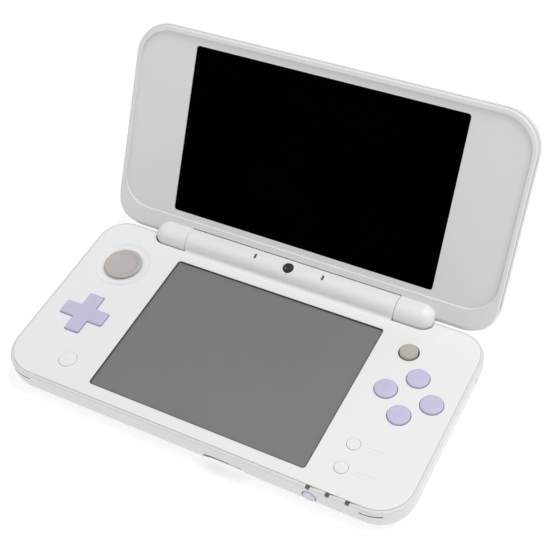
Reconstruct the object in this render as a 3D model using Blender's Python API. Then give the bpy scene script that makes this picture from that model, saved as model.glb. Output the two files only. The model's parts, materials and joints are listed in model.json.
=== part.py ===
"""Clamshell handheld game console, opened for play, as an assembly of its separate pieces.

Lengths in this file are millimetres and are turned into metres in one place, point().
Frame: +X to the user's right, +Y away from the user, +Z up. The origin is on the underside of
the base, below the centre of the touch screen. Lid pieces are drawn in the lid's own frame
(X along the hinge, Y up the lid, Z out of its screen side) and hang on an empty on the hinge axis.
"""
import math

import bmesh
import bpy
from mathutils import Matrix, Vector

MM = 0.001
GAP = 0.3                     # clearance between neighbouring pieces

# Overall case
HALF_WIDTH = 80.0
BASE_FRONT = -38.4
BASE_REAR = 42.9
FRONT_RADIUS = 13.5
REAR_RADIUS = 11.0
TUCK_RADIUS = 6.8             # rounding of the case towards its underside
CORNER_STEPS = 6
ROUND_STEPS = 24

# Heights in the base
FLOOR_TOP = 1.6
COVER_TOP = 4.1
FRAME_BOTTOM = 4.4
LEDGE_TOP = 10.0
PLATE_BOTTOM = 10.3
PLATE_TOP = 11.8
FRAME_TOP = 11.5
BOARD_BOTTOM = 6.6
BOARD_TOP = 7.4
PLATE_INSET = 1.3             # plate edge, measured in from the case outline
SEAM = 0.2

# Screens
LOWER_WIDTH = 86.0
LOWER_DEPTH = 64.5
TOUCH_TOP = 11.0
TOUCH_THICKNESS = 1.0
UPPER_WIDTH = 108.0
UPPER_HEIGHT = 65.0

# Hinge
AXIS_Y = 42.8
AXIS_Z = 11.8
OPEN_ANGLE = 59.67            # slope of the opened lid above the horizontal, in degrees
BARREL_RADIUS = 5.2
BARREL_BORE = 3.9
BARREL_HALF = 43.4
KNUCKLE_INNER = 43.8
KNUCKLE_OUTER = 58.0
KNUCKLE_CLEARANCE = 0.5

# Lid, in its own frame
PANEL_Z = -1.4
CREST_Z = -0.4
LID_SEAM_Z = -2.9              # underside of the screen-side moulding
LIP_Z = -1.75                  # front edge of the outer shell
LID_BACK_Z = -9.0
LID_TOP = 81.1
LID_HALF = 79.8
LID_LOW_RADIUS = 12.5           # corners beside the hinge
LID_HIGH_RADIUS = 15.0          # corners at the lid's top edge
LID_BOTTOM = -0.9
UPPER_CENTRE = 42.8           # centre of the upper screen above the hinge axis

# Controls on the plate
PAD_CENTRE = (-62.0, 21.5)
PAD_DISH_RADIUS = 10.8
PAD_HOLE_RADIUS = 6.0
CROSS_CENTRE = (-62.4, -5.5)
CROSS_SPAN = 18.6
CROSS_ARM = 6.2
CROSS_TOP = 12.6
FACE_CENTRE = (62.5, 8.3)
FACE_PITCH = 8.4
FACE_RADIUS = 4.15
NUB_CENTRE = (55.1, 26.1)
NUB_RADIUS = 3.3
START_CENTRE = (53.6, -16.8)
SELECT_CENTRE = (53.7, -26.8)
HOME_CENTRE = (-55.9, -26.4)
BUTTON_GAP = 0.25
POWER_CENTRE = (47.3, 6.5)    # x and z on the front wall
LIGHT_X = (46.9, 53.9, 61.0)
JACK_X = 9.6
STYLUS_X = 17.6
SCREW_X = (-66.0, 66.0)
SCREW_Y = -24.0
DOOR_LOW = -43.7
DOOR_HIGH = -8.3
SHOULDER_INNER = 59.6
SHOULDER_SPLIT = 66.6

# Colours
WHITE = (0.80, 0.80, 0.79)
WARM_WHITE = (0.74, 0.74, 0.72)
PANEL_WHITE = (0.66, 0.66, 0.67)
LAVENDER = (0.60, 0.56, 0.76)
PAD_GREY = (0.50, 0.48, 0.46)
BLACK = (0.01, 0.01, 0.01)
SCREEN_GREY = (0.20, 0.20, 0.20)
STEEL = (0.60, 0.60, 0.62)
BOARD_GREEN = (0.03, 0.22, 0.10)
RUBBER_GREY = (0.35, 0.35, 0.36)
DARK = (0.04, 0.04, 0.045)


def clear_scene():
    for item in list(bpy.data.objects):
        bpy.data.objects.remove(item, do_unlink=True)


def point(x, y, z):
    """A vector in metres from millimetres."""
    return Vector((x, y, z)) * MM


def plastic(name, colour, roughness=0.5, metallic=0.0):
    material = bpy.data.materials.new(name)
    material.use_nodes = True
    shader = material.node_tree.nodes["Principled BSDF"]
    shader.inputs["Base Color"].default_value = (*colour, 1.0)
    shader.inputs["Roughness"].default_value = roughness
    shader.inputs["Metallic"].default_value = metallic
    return material


def rounded_outline(low_x, high_x, low_y, high_y, low_radius, high_radius=None):
    """Counter-clockwise rounded rectangle; low_radius at the low-y corners."""
    high_radius = low_radius if high_radius is None else high_radius
    corners = (
        (high_x - low_radius, low_y + low_radius, low_radius, -90),
        (high_x - high_radius, high_y - high_radius, high_radius, 0),
        (low_x + high_radius, high_y - high_radius, high_radius, 90),
        (low_x + low_radius, low_y + low_radius, low_radius, 180),
    )
    points = []
    for centre_x, centre_y, radius, start in corners:
        for step in range(CORNER_STEPS + 1):
            angle = math.radians(start + 90 * step / CORNER_STEPS)
            points.append((centre_x + radius * math.cos(angle), centre_y + radius * math.sin(angle)))
    return points


def case_outline(inset):
    """The base's outline, moved in by inset all round."""
    return rounded_outline(-HALF_WIDTH + inset, HALF_WIDTH - inset, BASE_FRONT + inset, BASE_REAR - inset,
                           max(FRONT_RADIUS - inset, 1.0), max(REAR_RADIUS - inset, 1.0))


def circle(radius, centre=(0.0, 0.0), steps=ROUND_STEPS):
    angles = [2 * math.pi * step / steps for step in range(steps)]
    return [(centre[0] + radius * math.cos(a), centre[1] + radius * math.sin(a)) for a in angles]


def cross_outline(span, arm):
    """A plus sign with small flats at the corners of its arms."""
    far = span / 2
    near = arm / 2
    flat = 0.7
    arm_points = ((near, -near), (far - flat, -near), (far, flat - near), (far, near - flat),
                  (far - flat, near))
    points = []
    for turn in range(4):
        cosine = math.cos(turn * math.pi / 2)
        sine = math.sin(turn * math.pi / 2)
        points += [(x * cosine - y * sine, x * sine + y * cosine) for x, y in arm_points]
    return points


def shifted(points, centre):
    return [(x + centre[0], y + centre[1]) for x, y in points]


def add_rings(mesh, rings, place=None, loop=False):
    """Skin a list of (outline, height) rings; caps the ends, or joins them when loop is set."""
    place = place or Matrix.Identity(4)
    layers = []
    for outline, height in rings:
        layers.append([mesh.verts.new(place @ point(x, y, height)) for x, y in outline])
    pairs = list(zip(layers, layers[1:]))
    if loop:
        pairs.append((layers[-1], layers[0]))
    for lower, upper in pairs:
        count = len(lower)
        for index in range(count):
            following = (index + 1) % count
            mesh.faces.new((lower[index], lower[following], upper[following], upper[index]))
    if not loop:
        mesh.faces.new(list(reversed(layers[0])))
        mesh.faces.new(layers[-1])


def add_prism(mesh, outline, low, high, place=None):
    add_rings(mesh, [(outline, low), (outline, high)], place)


def add_box(mesh, low, high, radius=0.0, place=None):
    if radius:
        outline = rounded_outline(low[0], high[0], low[1], high[1], radius)
    else:
        outline = [(low[0], low[1]), (high[0], low[1]), (high[0], high[1]), (low[0], high[1])]
    add_prism(mesh, outline, low[2], high[2], place)


def add_turned(mesh, profile, place=None, loop=False, steps=ROUND_STEPS):
    """Turn (radius, height) points about the local Z axis."""
    add_rings(mesh, [(circle(radius, steps=steps), height) for radius, height in profile], place, loop)


def along(axis, at):
    """Local Z turned onto the X or Y axis, at a place in millimetres."""
    turns = {
        "x": Matrix.Rotation(math.pi / 2, 4, "Y"),
        "y": Matrix.Rotation(-math.pi / 2, 4, "X"),
        "z": Matrix.Identity(4),
    }
    return Matrix.Translation(point(*at)) @ turns[axis]


def finish_mesh(name, mesh, origin=(0.0, 0.0, 0.0)):
    bmesh.ops.recalc_face_normals(mesh, faces=mesh.faces)
    bmesh.ops.translate(mesh, verts=mesh.verts, vec=-point(*origin))
    data = bpy.data.meshes.new(name)
    mesh.to_mesh(data)
    mesh.free()
    data.shade_smooth()
    data.set_sharp_from_angle(angle=math.radians(35))
    return data


def add_node(name, mesh, material, parent=None, origin=(0.0, 0.0, 0.0)):
    """A named piece whose own origin is at origin, in its parent's frame."""
    node = bpy.data.objects.new(name, finish_mesh(name, mesh, origin))
    node.data.materials.append(material)
    node.location = point(*origin)
    node.parent = parent
    bpy.context.scene.collection.objects.link(node)
    return node


def modify(node, mesh, operation, parent=None):
    """Cut mesh from node, or join or intersect it, with an exact Boolean."""
    cutter = bpy.data.objects.new(node.name + "_cutter", finish_mesh(node.name + "_cutter", mesh))
    cutter.parent = parent
    cutter.hide_render = True
    cutter.display_type = "WIRE"
    bpy.context.scene.collection.objects.link(cutter)
    boolean = node.modifiers.new(operation.title(), "BOOLEAN")
    boolean.operation = operation
    boolean.solver = "EXACT"
    boolean.object = cutter


def cut(node, mesh, parent=None):
    modify(node, mesh, "DIFFERENCE", parent)


def join(node, mesh, parent=None):
    modify(node, mesh, "UNION", parent)


def keep(node, mesh, parent=None):
    modify(node, mesh, "INTERSECT", parent)


def barrel_sweep(mesh, radius, low_x, high_x, axis_y=AXIS_Y, axis_z=AXIS_Z):
    add_turned(mesh, [(radius, low_x), (radius, high_x)], along("x", (0, axis_y, axis_z)))


def knuckle_profile(grow=0.0):
    """(radius, x) points of a bullet-ended knuckle, from its inner end outward."""
    radius = BARREL_RADIUS + grow
    nose = 5.0
    shoulder = KNUCKLE_OUTER + grow - nose
    profile = [(radius, KNUCKLE_INNER - grow), (radius, shoulder)]
    for step in range(1, 5):
        angle = math.radians(72 * step / 4)
        profile.append((radius * (0.25 + 0.75 * math.cos(angle)), shoulder + nose * math.sin(angle)))
    return profile


def add_knuckle(mesh, side, grow=0.0, axis_y=AXIS_Y, axis_z=AXIS_Z):
    profile = [(radius, side * x) for radius, x in knuckle_profile(grow)]
    add_turned(mesh, profile, along("x", (0, axis_y, axis_z)))


# ---------------------------------------------------------------- base case

def wall_inset(height):
    """How far the case's side tucks in at a height: upright above, rounded under below."""
    if height >= TUCK_RADIUS:
        return 0.0
    drop = (TUCK_RADIUS - height) / TUCK_RADIUS
    return TUCK_RADIUS * (1.0 - math.sqrt(1.0 - drop * drop * 0.96))


def case_ring(inset, height):
    return case_outline(inset), height


def hinge_clearance(radius_grow, low_x, high_x):
    mesh = bmesh.new()
    barrel_sweep(mesh, BARREL_RADIUS + radius_grow, low_x, high_x)
    return mesh


def cut_knuckle_pockets(node):
    for side in (-1, 1):
        mesh = bmesh.new()
        add_knuckle(mesh, side, KNUCKLE_CLEARANCE)
        cut(node, mesh)


def plate_openings():
    """Everything that goes through the face plate, as one cutter."""
    mesh = bmesh.new()
    low = PLATE_BOTTOM - 1
    high = PLATE_TOP + 1
    half_width = LOWER_WIDTH / 2
    half_depth = LOWER_DEPTH / 2
    add_box(mesh, (-half_width, -half_depth, low), (half_width, half_depth, high), 1.2)
    pad_place = Matrix.Translation(point(*PAD_CENTRE, 0))
    dish = [(PAD_HOLE_RADIUS, low), (PAD_HOLE_RADIUS, 11.4), (7.6, 11.42), (9.6, 11.62),
            (PAD_DISH_RADIUS, PLATE_TOP), (PAD_DISH_RADIUS, high)]
    add_turned(mesh, dish, pad_place)
    cross = shifted(cross_outline(CROSS_SPAN + 2 * BUTTON_GAP, CROSS_ARM + 2 * BUTTON_GAP), CROSS_CENTRE)
    add_prism(mesh, cross, low, high)
    for centre in face_centres().values():
        add_prism(mesh, circle(FACE_RADIUS + BUTTON_GAP, centre), low, high)
    add_prism(mesh, circle(NUB_RADIUS + 0.5, NUB_CENTRE), low, high)
    add_prism(mesh, circle(2.4 + BUTTON_GAP, START_CENTRE), low, high)
    add_prism(mesh, circle(2.4 + BUTTON_GAP, SELECT_CENTRE), low, high)
    add_prism(mesh, circle(3.4 + BUTTON_GAP, HOME_CENTRE), low, high)
    return mesh


def face_centres():
    x, y = FACE_CENTRE
    return {
        "face_button_north": (x, y + FACE_PITCH),
        "face_button_east": (x + FACE_PITCH, y),
        "face_button_south": (x, y - FACE_PITCH),
        "face_button_west": (x - FACE_PITCH, y),
    }


def make_face_plate():
    """Top plate of the base, moulded in one with the hollow centre barrel of the hinge."""
    mesh = bmesh.new()
    add_rings(mesh, [case_ring(PLATE_INSET, PLATE_BOTTOM), case_ring(PLATE_INSET, PLATE_TOP - 0.3),
                     case_ring(PLATE_INSET + 0.1, PLATE_TOP - 0.1), case_ring(PLATE_INSET + 0.35, PLATE_TOP)])
    plate = add_node("face_plate", mesh, plastic("plate_white", WHITE, 0.42))
    cut(plate, hinge_clearance(-0.6, -KNUCKLE_INNER + 0.2, KNUCKLE_INNER - 0.2))
    cut_knuckle_pockets(plate)
    behind = bmesh.new()
    add_box(behind, (-KNUCKLE_INNER + 0.2, AXIS_Y - 3, 0), (KNUCKLE_INNER - 0.2, AXIS_Y + 9, 20))
    cut(plate, behind)
    barrel = bmesh.new()
    tube = [(BARREL_BORE, -BARREL_HALF), (BARREL_RADIUS, -BARREL_HALF), (BARREL_RADIUS, BARREL_HALF),
            (BARREL_BORE, BARREL_HALF)]
    add_turned(barrel, tube, along("x", (0, AXIS_Y, AXIS_Z)), loop=True)
    join(plate, barrel)
    cut(plate, plate_openings())
    rebate = bmesh.new()
    add_box(rebate, (-46, -34.6, PLATE_BOTTOM - 1), (46, 34.6, TOUCH_TOP + GAP))
    cut(plate, rebate)
    cut(plate, barrel_windows())
    return plate


def camera_place(x, lean):
    """Local +Z out of the barrel's top, leaning lean degrees towards the user."""
    return Matrix.Translation(point(x, AXIS_Y, AXIS_Z)) @ Matrix.Rotation(math.radians(lean), 4, "X")


def barrel_windows():
    mesh = bmesh.new()
    add_prism(mesh, circle(2.15, steps=20), 3.0, 7.0, camera_place(0, 15))
    for x in (-14.1, 14.1):
        add_box(mesh, (-0.5, -1.1, 3.0), (0.5, 1.1, 7.0), place=camera_place(x, 10))
    return mesh


def make_base_frame():
    """Side wall of the base with the ledge that carries the face plate."""
    edge = PLATE_INSET - SEAM
    profile = [(wall_inset(height), height) for height in (FRAME_BOTTOM, 5.3, 6.1)]
    profile += [(0.0, 7.0), (0.0, 10.9), (0.15, 11.25), (0.45, 11.45)]
    profile += [(edge - 0.1, FRAME_TOP), (edge, FRAME_TOP - 0.1), (edge, LEDGE_TOP), (2.8, LEDGE_TOP)]
    profile += [(2.8, 9.1), (2.4, 8.4), (2.4, FRAME_BOTTOM)]
    mesh = bmesh.new()
    add_rings(mesh, [case_ring(inset, height) for inset, height in profile], loop=True)
    frame = add_node("base_frame", mesh, plastic("frame_white", WARM_WHITE, 0.5))
    cut(frame, hinge_clearance(GAP, -KNUCKLE_INNER - 1, KNUCKLE_INNER + 1))
    cut_knuckle_pockets(frame)
    openings = bmesh.new()
    channels = bmesh.new()
    for x in LIGHT_X:
        add_box(openings, (x - 0.75, BASE_FRONT - 1, 10.45), (x + 0.75, BASE_FRONT + 1.2, 13))
        add_box(channels, (x - 0.75, BASE_FRONT + 0.8, 9.75), (x + 0.75, BASE_FRONT + 3.5, 13))
    for side in (-1, 1):
        low, high = sorted((side * 64.5, side * 74.0))
        add_box(openings, (low, BASE_FRONT - 1, 9.05), (high, BASE_FRONT + 5, 9.6))
    add_box(openings, (-HALF_WIDTH - 1, 5.0, 6.0), (-HALF_WIDTH + 4, 25.0, 8.5))
    cut(frame, openings)
    cut(frame, channels)
    cut(frame, lower_openings())
    return frame


def lower_openings():
    """Openings that cross the joint between the frame and the bottom cover."""
    mesh = bmesh.new()
    add_box(mesh, (DOOR_LOW - GAP, BASE_FRONT - 1, 1.6), (DOOR_HIGH + GAP, BASE_FRONT + 6, 5.5))
    recess = shifted(rounded_outline(-8.3, 8.3, -2.6, 2.6, 2.5), (14.8, 4.2))
    place = Matrix.Translation(point(0, BASE_FRONT + 7, 0)) @ Matrix.Rotation(math.pi / 2, 4, "X")
    add_prism(mesh, recess, 0.0, 8.0, place)
    power = [(2.5 + BUTTON_GAP, BASE_FRONT - 1), (2.5 + BUTTON_GAP, BASE_FRONT + 2.4),
             (3.1, BASE_FRONT + 2.4), (3.1, BASE_FRONT + 5.5)]
    add_turned(mesh, power, along("y", (POWER_CENTRE[0], 0, POWER_CENTRE[1])))
    port = shifted(rounded_outline(-4.6, 4.6, -2.0, 2.0, 0.8), (0, 3.9))
    place = Matrix.Translation(point(0, BASE_REAR + 1, 0)) @ Matrix.Rotation(math.pi / 2, 4, "X")
    add_prism(mesh, port, 0.0, 6.5, place)
    for side in (-1, 1):
        low, high = sorted((side * (SHOULDER_INNER - GAP), side * (HALF_WIDTH + 2)))
        add_box(mesh, (low, 26.0, 2.6), (high, BASE_REAR + 2, 10.1))
    return mesh


def shoulder_spans():
    return ((SHOULDER_INNER, SHOULDER_SPLIT - 0.9), (SHOULDER_SPLIT, HALF_WIDTH + 1))


def make_bottom_cover():
    """Underside tray of the base."""
    heights = (0.0, 0.25, 0.9, 1.9, 3.0, COVER_TOP)
    outer = [case_ring(wall_inset(height), height) for height in heights]
    inner = [case_ring(wall_inset(COVER_TOP) + 1.8, COVER_TOP), case_ring(4.2, 2.6),
             case_ring(6.2, FLOOR_TOP)]
    mesh = bmesh.new()
    add_rings(mesh, outer + inner)
    cover = add_node("bottom_cover", mesh, plastic("cover_white", WARM_WHITE, 0.55))
    screw_holes = bmesh.new()
    for x in SCREW_X:
        add_turned(screw_holes, [(2.3, -1), (2.3, 0.9), (1.1, 1.2), (1.1, 3)],
                   Matrix.Translation(point(x, SCREW_Y, 0)), steps=20)
    cut(cover, screw_holes)
    details = bmesh.new()
    add_prism(details, shifted(rounded_outline(-21, 21, -3.7, 3.7, 3.6), (0, 24)), -1, 0.8)
    cut(cover, details)
    lens_holes = bmesh.new()
    for x in (-17.0, 17.0):
        add_prism(lens_holes, circle(2.6, (x, 24)), -1, 3)
    cut(cover, lens_holes)
    cut(cover, lower_openings())
    return cover


# ---------------------------------------------------------------- screens and electronics in the base

def simple_block(name, low, high, material, radius=0.8, parent=None):
    mesh = bmesh.new()
    add_box(mesh, low, high, radius)
    return add_node(name, mesh, material, parent)


def make_lower_screen():
    simple_block("touch_window", (-45.6, -34.2, TOUCH_TOP - TOUCH_THICKNESS), (45.6, 34.2, TOUCH_TOP),
                 plastic("touch_grey", SCREEN_GREY, 0.3))
    simple_block("lower_lcd", (-45.0, -34.0, 7.9), (45.0, 34.0, 9.7), plastic("lcd_metal", STEEL, 0.35, 0.8))


def make_electronics():
    board_mesh = bmesh.new()
    add_box(board_mesh, (-74.5, -32.5, BOARD_BOTTOM), (74.5, 35.5, BOARD_TOP), 8.0)
    add_node("main_board", board_mesh, plastic("board_green", BOARD_GREEN, 0.5))
    simple_block("battery", (25.0, -20.0, 1.9), (70.0, 30.0, 6.2), plastic("battery_black", DARK, 0.55), 1.5)
    for side, name in ((-1, "left_speaker"), (1, "right_speaker")):
        low, high = sorted((side * 61.5, side * 73.5))
        mesh = bmesh.new()
        add_box(mesh, (low, -33.0, 7.7), (high, -26.0, 8.8), 3.0)
        add_node(name, mesh, plastic("speaker_black", DARK, 0.6))
    make_card_slot()
    make_memory_card_slot()
    make_audio_jack()
    make_charging_port()


def make_card_slot():
    """Metal cage of the game-card slot, open towards the front door."""
    mesh = bmesh.new()
    add_box(mesh, (-43.0, -34.5, 1.9), (-17.5, -4.0, 6.2))
    cage = add_node("card_slot", mesh, plastic("cage_steel", STEEL, 0.3, 0.9))
    hollow = bmesh.new()
    add_box(hollow, (-42.4, -36.0, 2.4), (-18.1, -7.0, 5.7))
    cut(cage, hollow)


def make_memory_card_slot():
    mesh = bmesh.new()
    add_box(mesh, (-16.5, -34.5, 3.0), (-8.6, -20.0, 5.4))
    cage = add_node("memory_card_slot", mesh, plastic("small_cage_steel", STEEL, 0.3, 0.9))
    hollow = bmesh.new()
    add_box(hollow, (-16.0, -36.0, 3.4), (-9.1, -21.5, 5.0))
    cut(cage, hollow)


def make_audio_jack():
    """Round socket in the front recess."""
    mesh = bmesh.new()
    place = along("y", (JACK_X, BASE_FRONT + 2.2, 4.2))
    add_turned(mesh, [(1.75, 0.0), (2.3, 0.0), (2.3, 12.0), (0.9, 12.0), (0.9, 11.0), (1.75, 11.0)], place,
               loop=True, steps=20)
    add_node("audio_jack", mesh, plastic("jack_black", DARK, 0.4))


def make_charging_port():
    """Flat socket in the rear wall, under the hinge barrel."""
    mesh = bmesh.new()
    add_box(mesh, (-4.2, 36.5, 2.2), (4.2, 41.0, 5.6))
    port = add_node("charging_port", mesh, plastic("port_steel", STEEL, 0.3, 0.9))
    hollow = bmesh.new()
    add_box(hollow, (-3.7, 38.0, 2.7), (3.7, 43.0, 5.1))
    cut(port, hollow)


def make_barrel_contents():
    """Camera, microphone, indicator, hinge parts and screen cable inside the centre barrel."""
    lean = camera_place(0, 15)
    camera = bmesh.new()
    add_box(camera, (-2.6, -2.3, -1.5), (2.6, 2.3, 1.6), place=lean)
    add_node("inner_camera", camera, plastic("camera_black", DARK, 0.5))
    window = bmesh.new()
    add_turned(window, [(1.5, 1.9), (1.5, 3.5), (1.95, 3.9), (1.95, 4.7), (1.75, 4.95)], lean, steps=20)
    add_node("inner_camera_window", window, plastic("camera_glass", BLACK, 0.1))
    for x, name in ((-14.1, "camera_light"), (14.1, "microphone")):
        mesh = bmesh.new()
        add_box(mesh, (-1.4, -1.6, 0.5), (1.4, 1.6, 3.0), place=camera_place(x, 10))
        piece = add_node(name, mesh, plastic(name + "_dark", DARK, 0.4))
        nose = bmesh.new()
        add_box(nose, (-0.3, -0.9, 2.5), (0.3, 0.9, 4.6), place=camera_place(x, 10))
        join(piece, nose)
    axis = along("x", (0, AXIS_Y, AXIS_Z))
    clutch = bmesh.new()
    add_turned(clutch, [(3.5, 26.0), (3.5, 43.2), (2.1, 43.2), (2.1, 38.0)], axis, steps=20)
    add_node("hinge_clutch", clutch, plastic("clutch_steel", STEEL, 0.35, 0.9))
    bearing = bmesh.new()
    add_turned(bearing, [(3.1, -43.2), (3.6, -43.2), (3.6, -38.0), (3.1, -38.0)], axis, loop=True, steps=20)
    add_node("hinge_bearing", bearing, plastic("bearing_black", DARK, 0.5))
    cable = bmesh.new()
    add_turned(cable, [(1.5, -50.0), (1.5, -18.0)], axis, steps=16)
    add_node("display_cable", cable, plastic("cable_copper", (0.55, 0.32, 0.12), 0.5))


def make_status_light_guide():
    """Clear moulding that carries the three indicator lights up to the seam."""
    mesh = bmesh.new()
    add_box(mesh, (46.2, -35.3, 9.5), (62.0, -34.5, 10.0))
    riser_back = BASE_FRONT + PLATE_INSET - 0.15
    guide = add_node("status_light_guide", mesh, plastic("light_guide_dark", DARK, 0.25))
    for x in LIGHT_X:
        arm = bmesh.new()
        add_box(arm, (x - 0.55, riser_back - 0.25, 9.9), (x + 0.55, -34.9, 10.15))
        add_box(arm, (x - 0.5, riser_back - 0.2, 9.95), (x + 0.5, riser_back, 11.0))
        add_box(arm, (x - 0.55, BASE_FRONT + 0.3, 10.65), (x + 0.55, riser_back - 0.05, 11.1))
        join(guide, arm)
        guide.modifiers[-1].use_self = True
    return guide


def make_screws():
    for x, name in zip(SCREW_X, ("cover_screw_left", "cover_screw_right")):
        mesh = bmesh.new()
        add_turned(mesh, [(2.0, 0.2), (2.0, 0.6), (0.8, 1.0), (0.8, 6.2)],
                   Matrix.Translation(point(x, SCREW_Y, 0)), steps=20)
        screw = add_node(name, mesh, plastic(name + "_steel", STEEL, 0.3, 0.9))
        slot = bmesh.new()
        for angle in (0, 90):
            turn = Matrix.Translation(point(x, SCREW_Y, 0)) @ Matrix.Rotation(math.radians(angle), 4, "Z")
            add_box(slot, (-1.2, -0.25, -0.2), (1.2, 0.25, 0.5), place=turn)
        cut(screw, slot)
        screw.modifiers[-1].use_self = True


def make_outer_camera_window():
    mesh = bmesh.new()
    add_prism(mesh, shifted(rounded_outline(-20.7, 20.7, -3.4, 3.4, 3.3), (0, 24)), 0.1, 0.5)
    window = add_node("outer_camera_window", mesh, plastic("outer_camera_glass", BLACK, 0.12))
    lenses = bmesh.new()
    for x in (-17.0, 17.0):
        add_prism(lenses, circle(2.2, (x, 24)), 0.4, 2.6)
    join(window, lenses)
    return window


# ---------------------------------------------------------------- controls

def pivot(name, at):
    """An empty on a joint's axis."""
    empty = bpy.data.objects.new(name, None)
    empty.location = point(*at)
    bpy.context.scene.collection.objects.link(empty)
    return empty


def make_slide_pad():
    x, y = PAD_CENTRE
    housing = bmesh.new()
    add_box(housing, (x - 12.5, y - 12.5, 7.7), (x + 12.5, y + 12.5, 8.2), 2.0)
    add_node("slide_pad_housing", housing, plastic("housing_black", DARK, 0.5))
    centre = (x, y, 8.5)
    carriage = bmesh.new()
    add_box(carriage, (x - 6.0, y - 9.0, 8.5), (x + 6.0, y + 9.0, 9.1), 1.0)
    add_node("slide_pad_carriage", carriage, plastic("carriage_grey", RUBBER_GREY, 0.5), origin=centre)
    profile = [(8.9, 9.5), (8.9, 9.9), (2.8, 9.95), (2.8, 11.7), (6.4, 11.75), (7.3, 12.05), (7.4, 12.45),
               (7.15, 12.8), (6.6, 12.9), (5.9, 12.65), (4.0, 12.42)]
    cap = bmesh.new()
    add_turned(cap, profile, Matrix.Translation(point(x, y, 0)))
    add_node("slide_pad", cap, plastic("pad_grey", PAD_GREY, 0.6), origin=(x, y, 9.5))


def make_cross_key():
    x, y = CROSS_CENTRE
    sheet = bmesh.new()
    add_box(sheet, (x - 10.5, y - 26.0, 7.6), (x + 11.0, y + 11.0, 7.9), 3.0)
    membrane = add_node("left_key_membrane", sheet, plastic("left_rubber", RUBBER_GREY, 0.8))
    hole = bmesh.new()
    add_prism(hole, circle(2.0, CROSS_CENTRE, 16), 7.0, 8.5)
    add_box(hole, (-78.0, -34.0, 7.0), (-61.0, -18.0, 8.5))
    cut(membrane, hole)
    post = bmesh.new()
    add_turned(post, [(1.6, 7.7), (1.6, 8.0), (0.8, 8.35)], Matrix.Translation(point(x, y, 0)), steps=16)
    add_node("cross_key_pivot", post, plastic("pivot_steel", STEEL, 0.3, 0.9), origin=(x, y, 8.4))
    key = bmesh.new()
    add_prism(key, circle(10.4), 8.7, 9.3, Matrix.Translation(point(x, y, 0)))
    cross = add_node("cross_key", key, plastic("cross_lavender", LAVENDER, 0.45), origin=(x, y, 8.4))
    arms = bmesh.new()
    layers = ((0.0, 9.0), (0.0, 12.1), (0.15, 12.4), (0.6, CROSS_TOP))
    rings = [(shifted(cross_outline(CROSS_SPAN - 2 * inset, CROSS_ARM - 2 * inset), CROSS_CENTRE), height)
             for inset, height in layers]
    add_rings(arms, rings)
    join(cross, arms)


def make_push_button(name, centre, radius, top, bottom, flange, material):
    """Round key with a retaining flange below the plate."""
    mesh = bmesh.new()
    edge = min(0.6, (top - PLATE_TOP) * 0.8)
    profile = [(radius + flange, bottom), (radius + flange, bottom + 0.6), (radius, bottom + 0.6),
               (radius, top - edge), (radius - 0.3 * edge, top - 0.3 * edge), (radius - edge, top)]
    add_turned(mesh, profile, Matrix.Translation(point(*centre, 0)))
    return add_node(name, mesh, material, origin=(*centre, bottom))


def make_buttons():
    for name, centre in face_centres().items():
        make_push_button(name, centre, FACE_RADIUS, 12.6, 9.3, 0.65,
                         plastic(name + "_lavender", LAVENDER, 0.45))
    for name, centre in (("start_button", START_CENTRE), ("select_button", SELECT_CENTRE)):
        make_push_button(name, centre, 2.4, 12.1, 9.3, 0.6, plastic(name + "_white", WHITE, 0.45))
    make_push_button("home_button", HOME_CENTRE, 3.4, 12.1, 9.3, 0.6, plastic("home_white", WHITE, 0.45))
    x, y = FACE_CENTRE
    sheet = bmesh.new()
    add_box(sheet, (x - 13.5, y - 40.0, 7.6), (x + 13.5, y + 13.5, 7.9), 4.0)
    membrane = add_node("right_key_membrane", sheet, plastic("right_rubber", RUBBER_GREY, 0.8))
    trim = bmesh.new()
    add_box(trim, (58.5, -34.0, 7.0), (78.0, -6.5, 8.5))
    cut(membrane, trim)


def make_nub_stick():
    x, y = NUB_CENTRE
    place = Matrix.Translation(point(x, y, 0))
    sensor = bmesh.new()
    add_box(sensor, (x - 4.5, y - 4.0, 7.7), (x + 4.5, y + 4.0, 8.2), 0.8)
    add_node("nub_sensor", sensor, plastic("sensor_black", DARK, 0.5))
    post = bmesh.new()
    add_turned(post, [(1.8, 8.5), (1.8, 8.8)], place, steps=16)
    add_node("nub_gimbal", post, plastic("gimbal_steel", STEEL, 0.3, 0.9), origin=(x, y, 8.4))
    cap = bmesh.new()
    profile = [(2.2, 9.1), (2.2, 10.6), (NUB_RADIUS, 10.9), (NUB_RADIUS, 12.3), (NUB_RADIUS - 0.3, 12.75),
               (NUB_RADIUS - 0.9, 12.9)]
    add_turned(cap, profile, place)
    add_node("nub_stick", cap, plastic("nub_grey", PAD_GREY, 0.65), origin=(x, y, 8.4))


def make_power_button():
    x, z = POWER_CENTRE
    origin = (x, BASE_FRONT - 0.05, z)
    mesh = bmesh.new()
    profile = [(2.3, 0.0), (2.5, 0.2), (2.5, 3.1), (2.9, 3.1), (2.9, 3.6)]
    add_turned(mesh, profile, along("y", origin))
    add_node("power_button", mesh, plastic("power_lavender", LAVENDER, 0.45), origin=origin)


def wall_band(thickness, low_z, high_z):
    """A belt of the case's wall between two heights, following its curved outline."""
    mesh = bmesh.new()
    heights = [low_z + (high_z - low_z) * step / 4 for step in range(5)]
    rings = [case_ring(wall_inset(height), height) for height in heights]
    rings += [case_ring(wall_inset(height) + thickness, height) for height in reversed(heights)]
    add_rings(mesh, rings, loop=True)
    return mesh


def make_card_door():
    """Flap over the card slots; swings down about its lower edge."""
    origin = (0.5 * (DOOR_LOW + DOOR_HIGH), BASE_FRONT + wall_inset(1.9), 1.9)
    door = add_node("card_door", wall_band(1.2, 1.9, 5.2), plastic("door_white", WARM_WHITE), origin=origin)
    window = bmesh.new()
    add_box(window, (DOOR_LOW, BASE_FRONT - 2, 1.0), (DOOR_HIGH, BASE_FRONT + 8, 6.0))
    keep(door, window)


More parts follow.
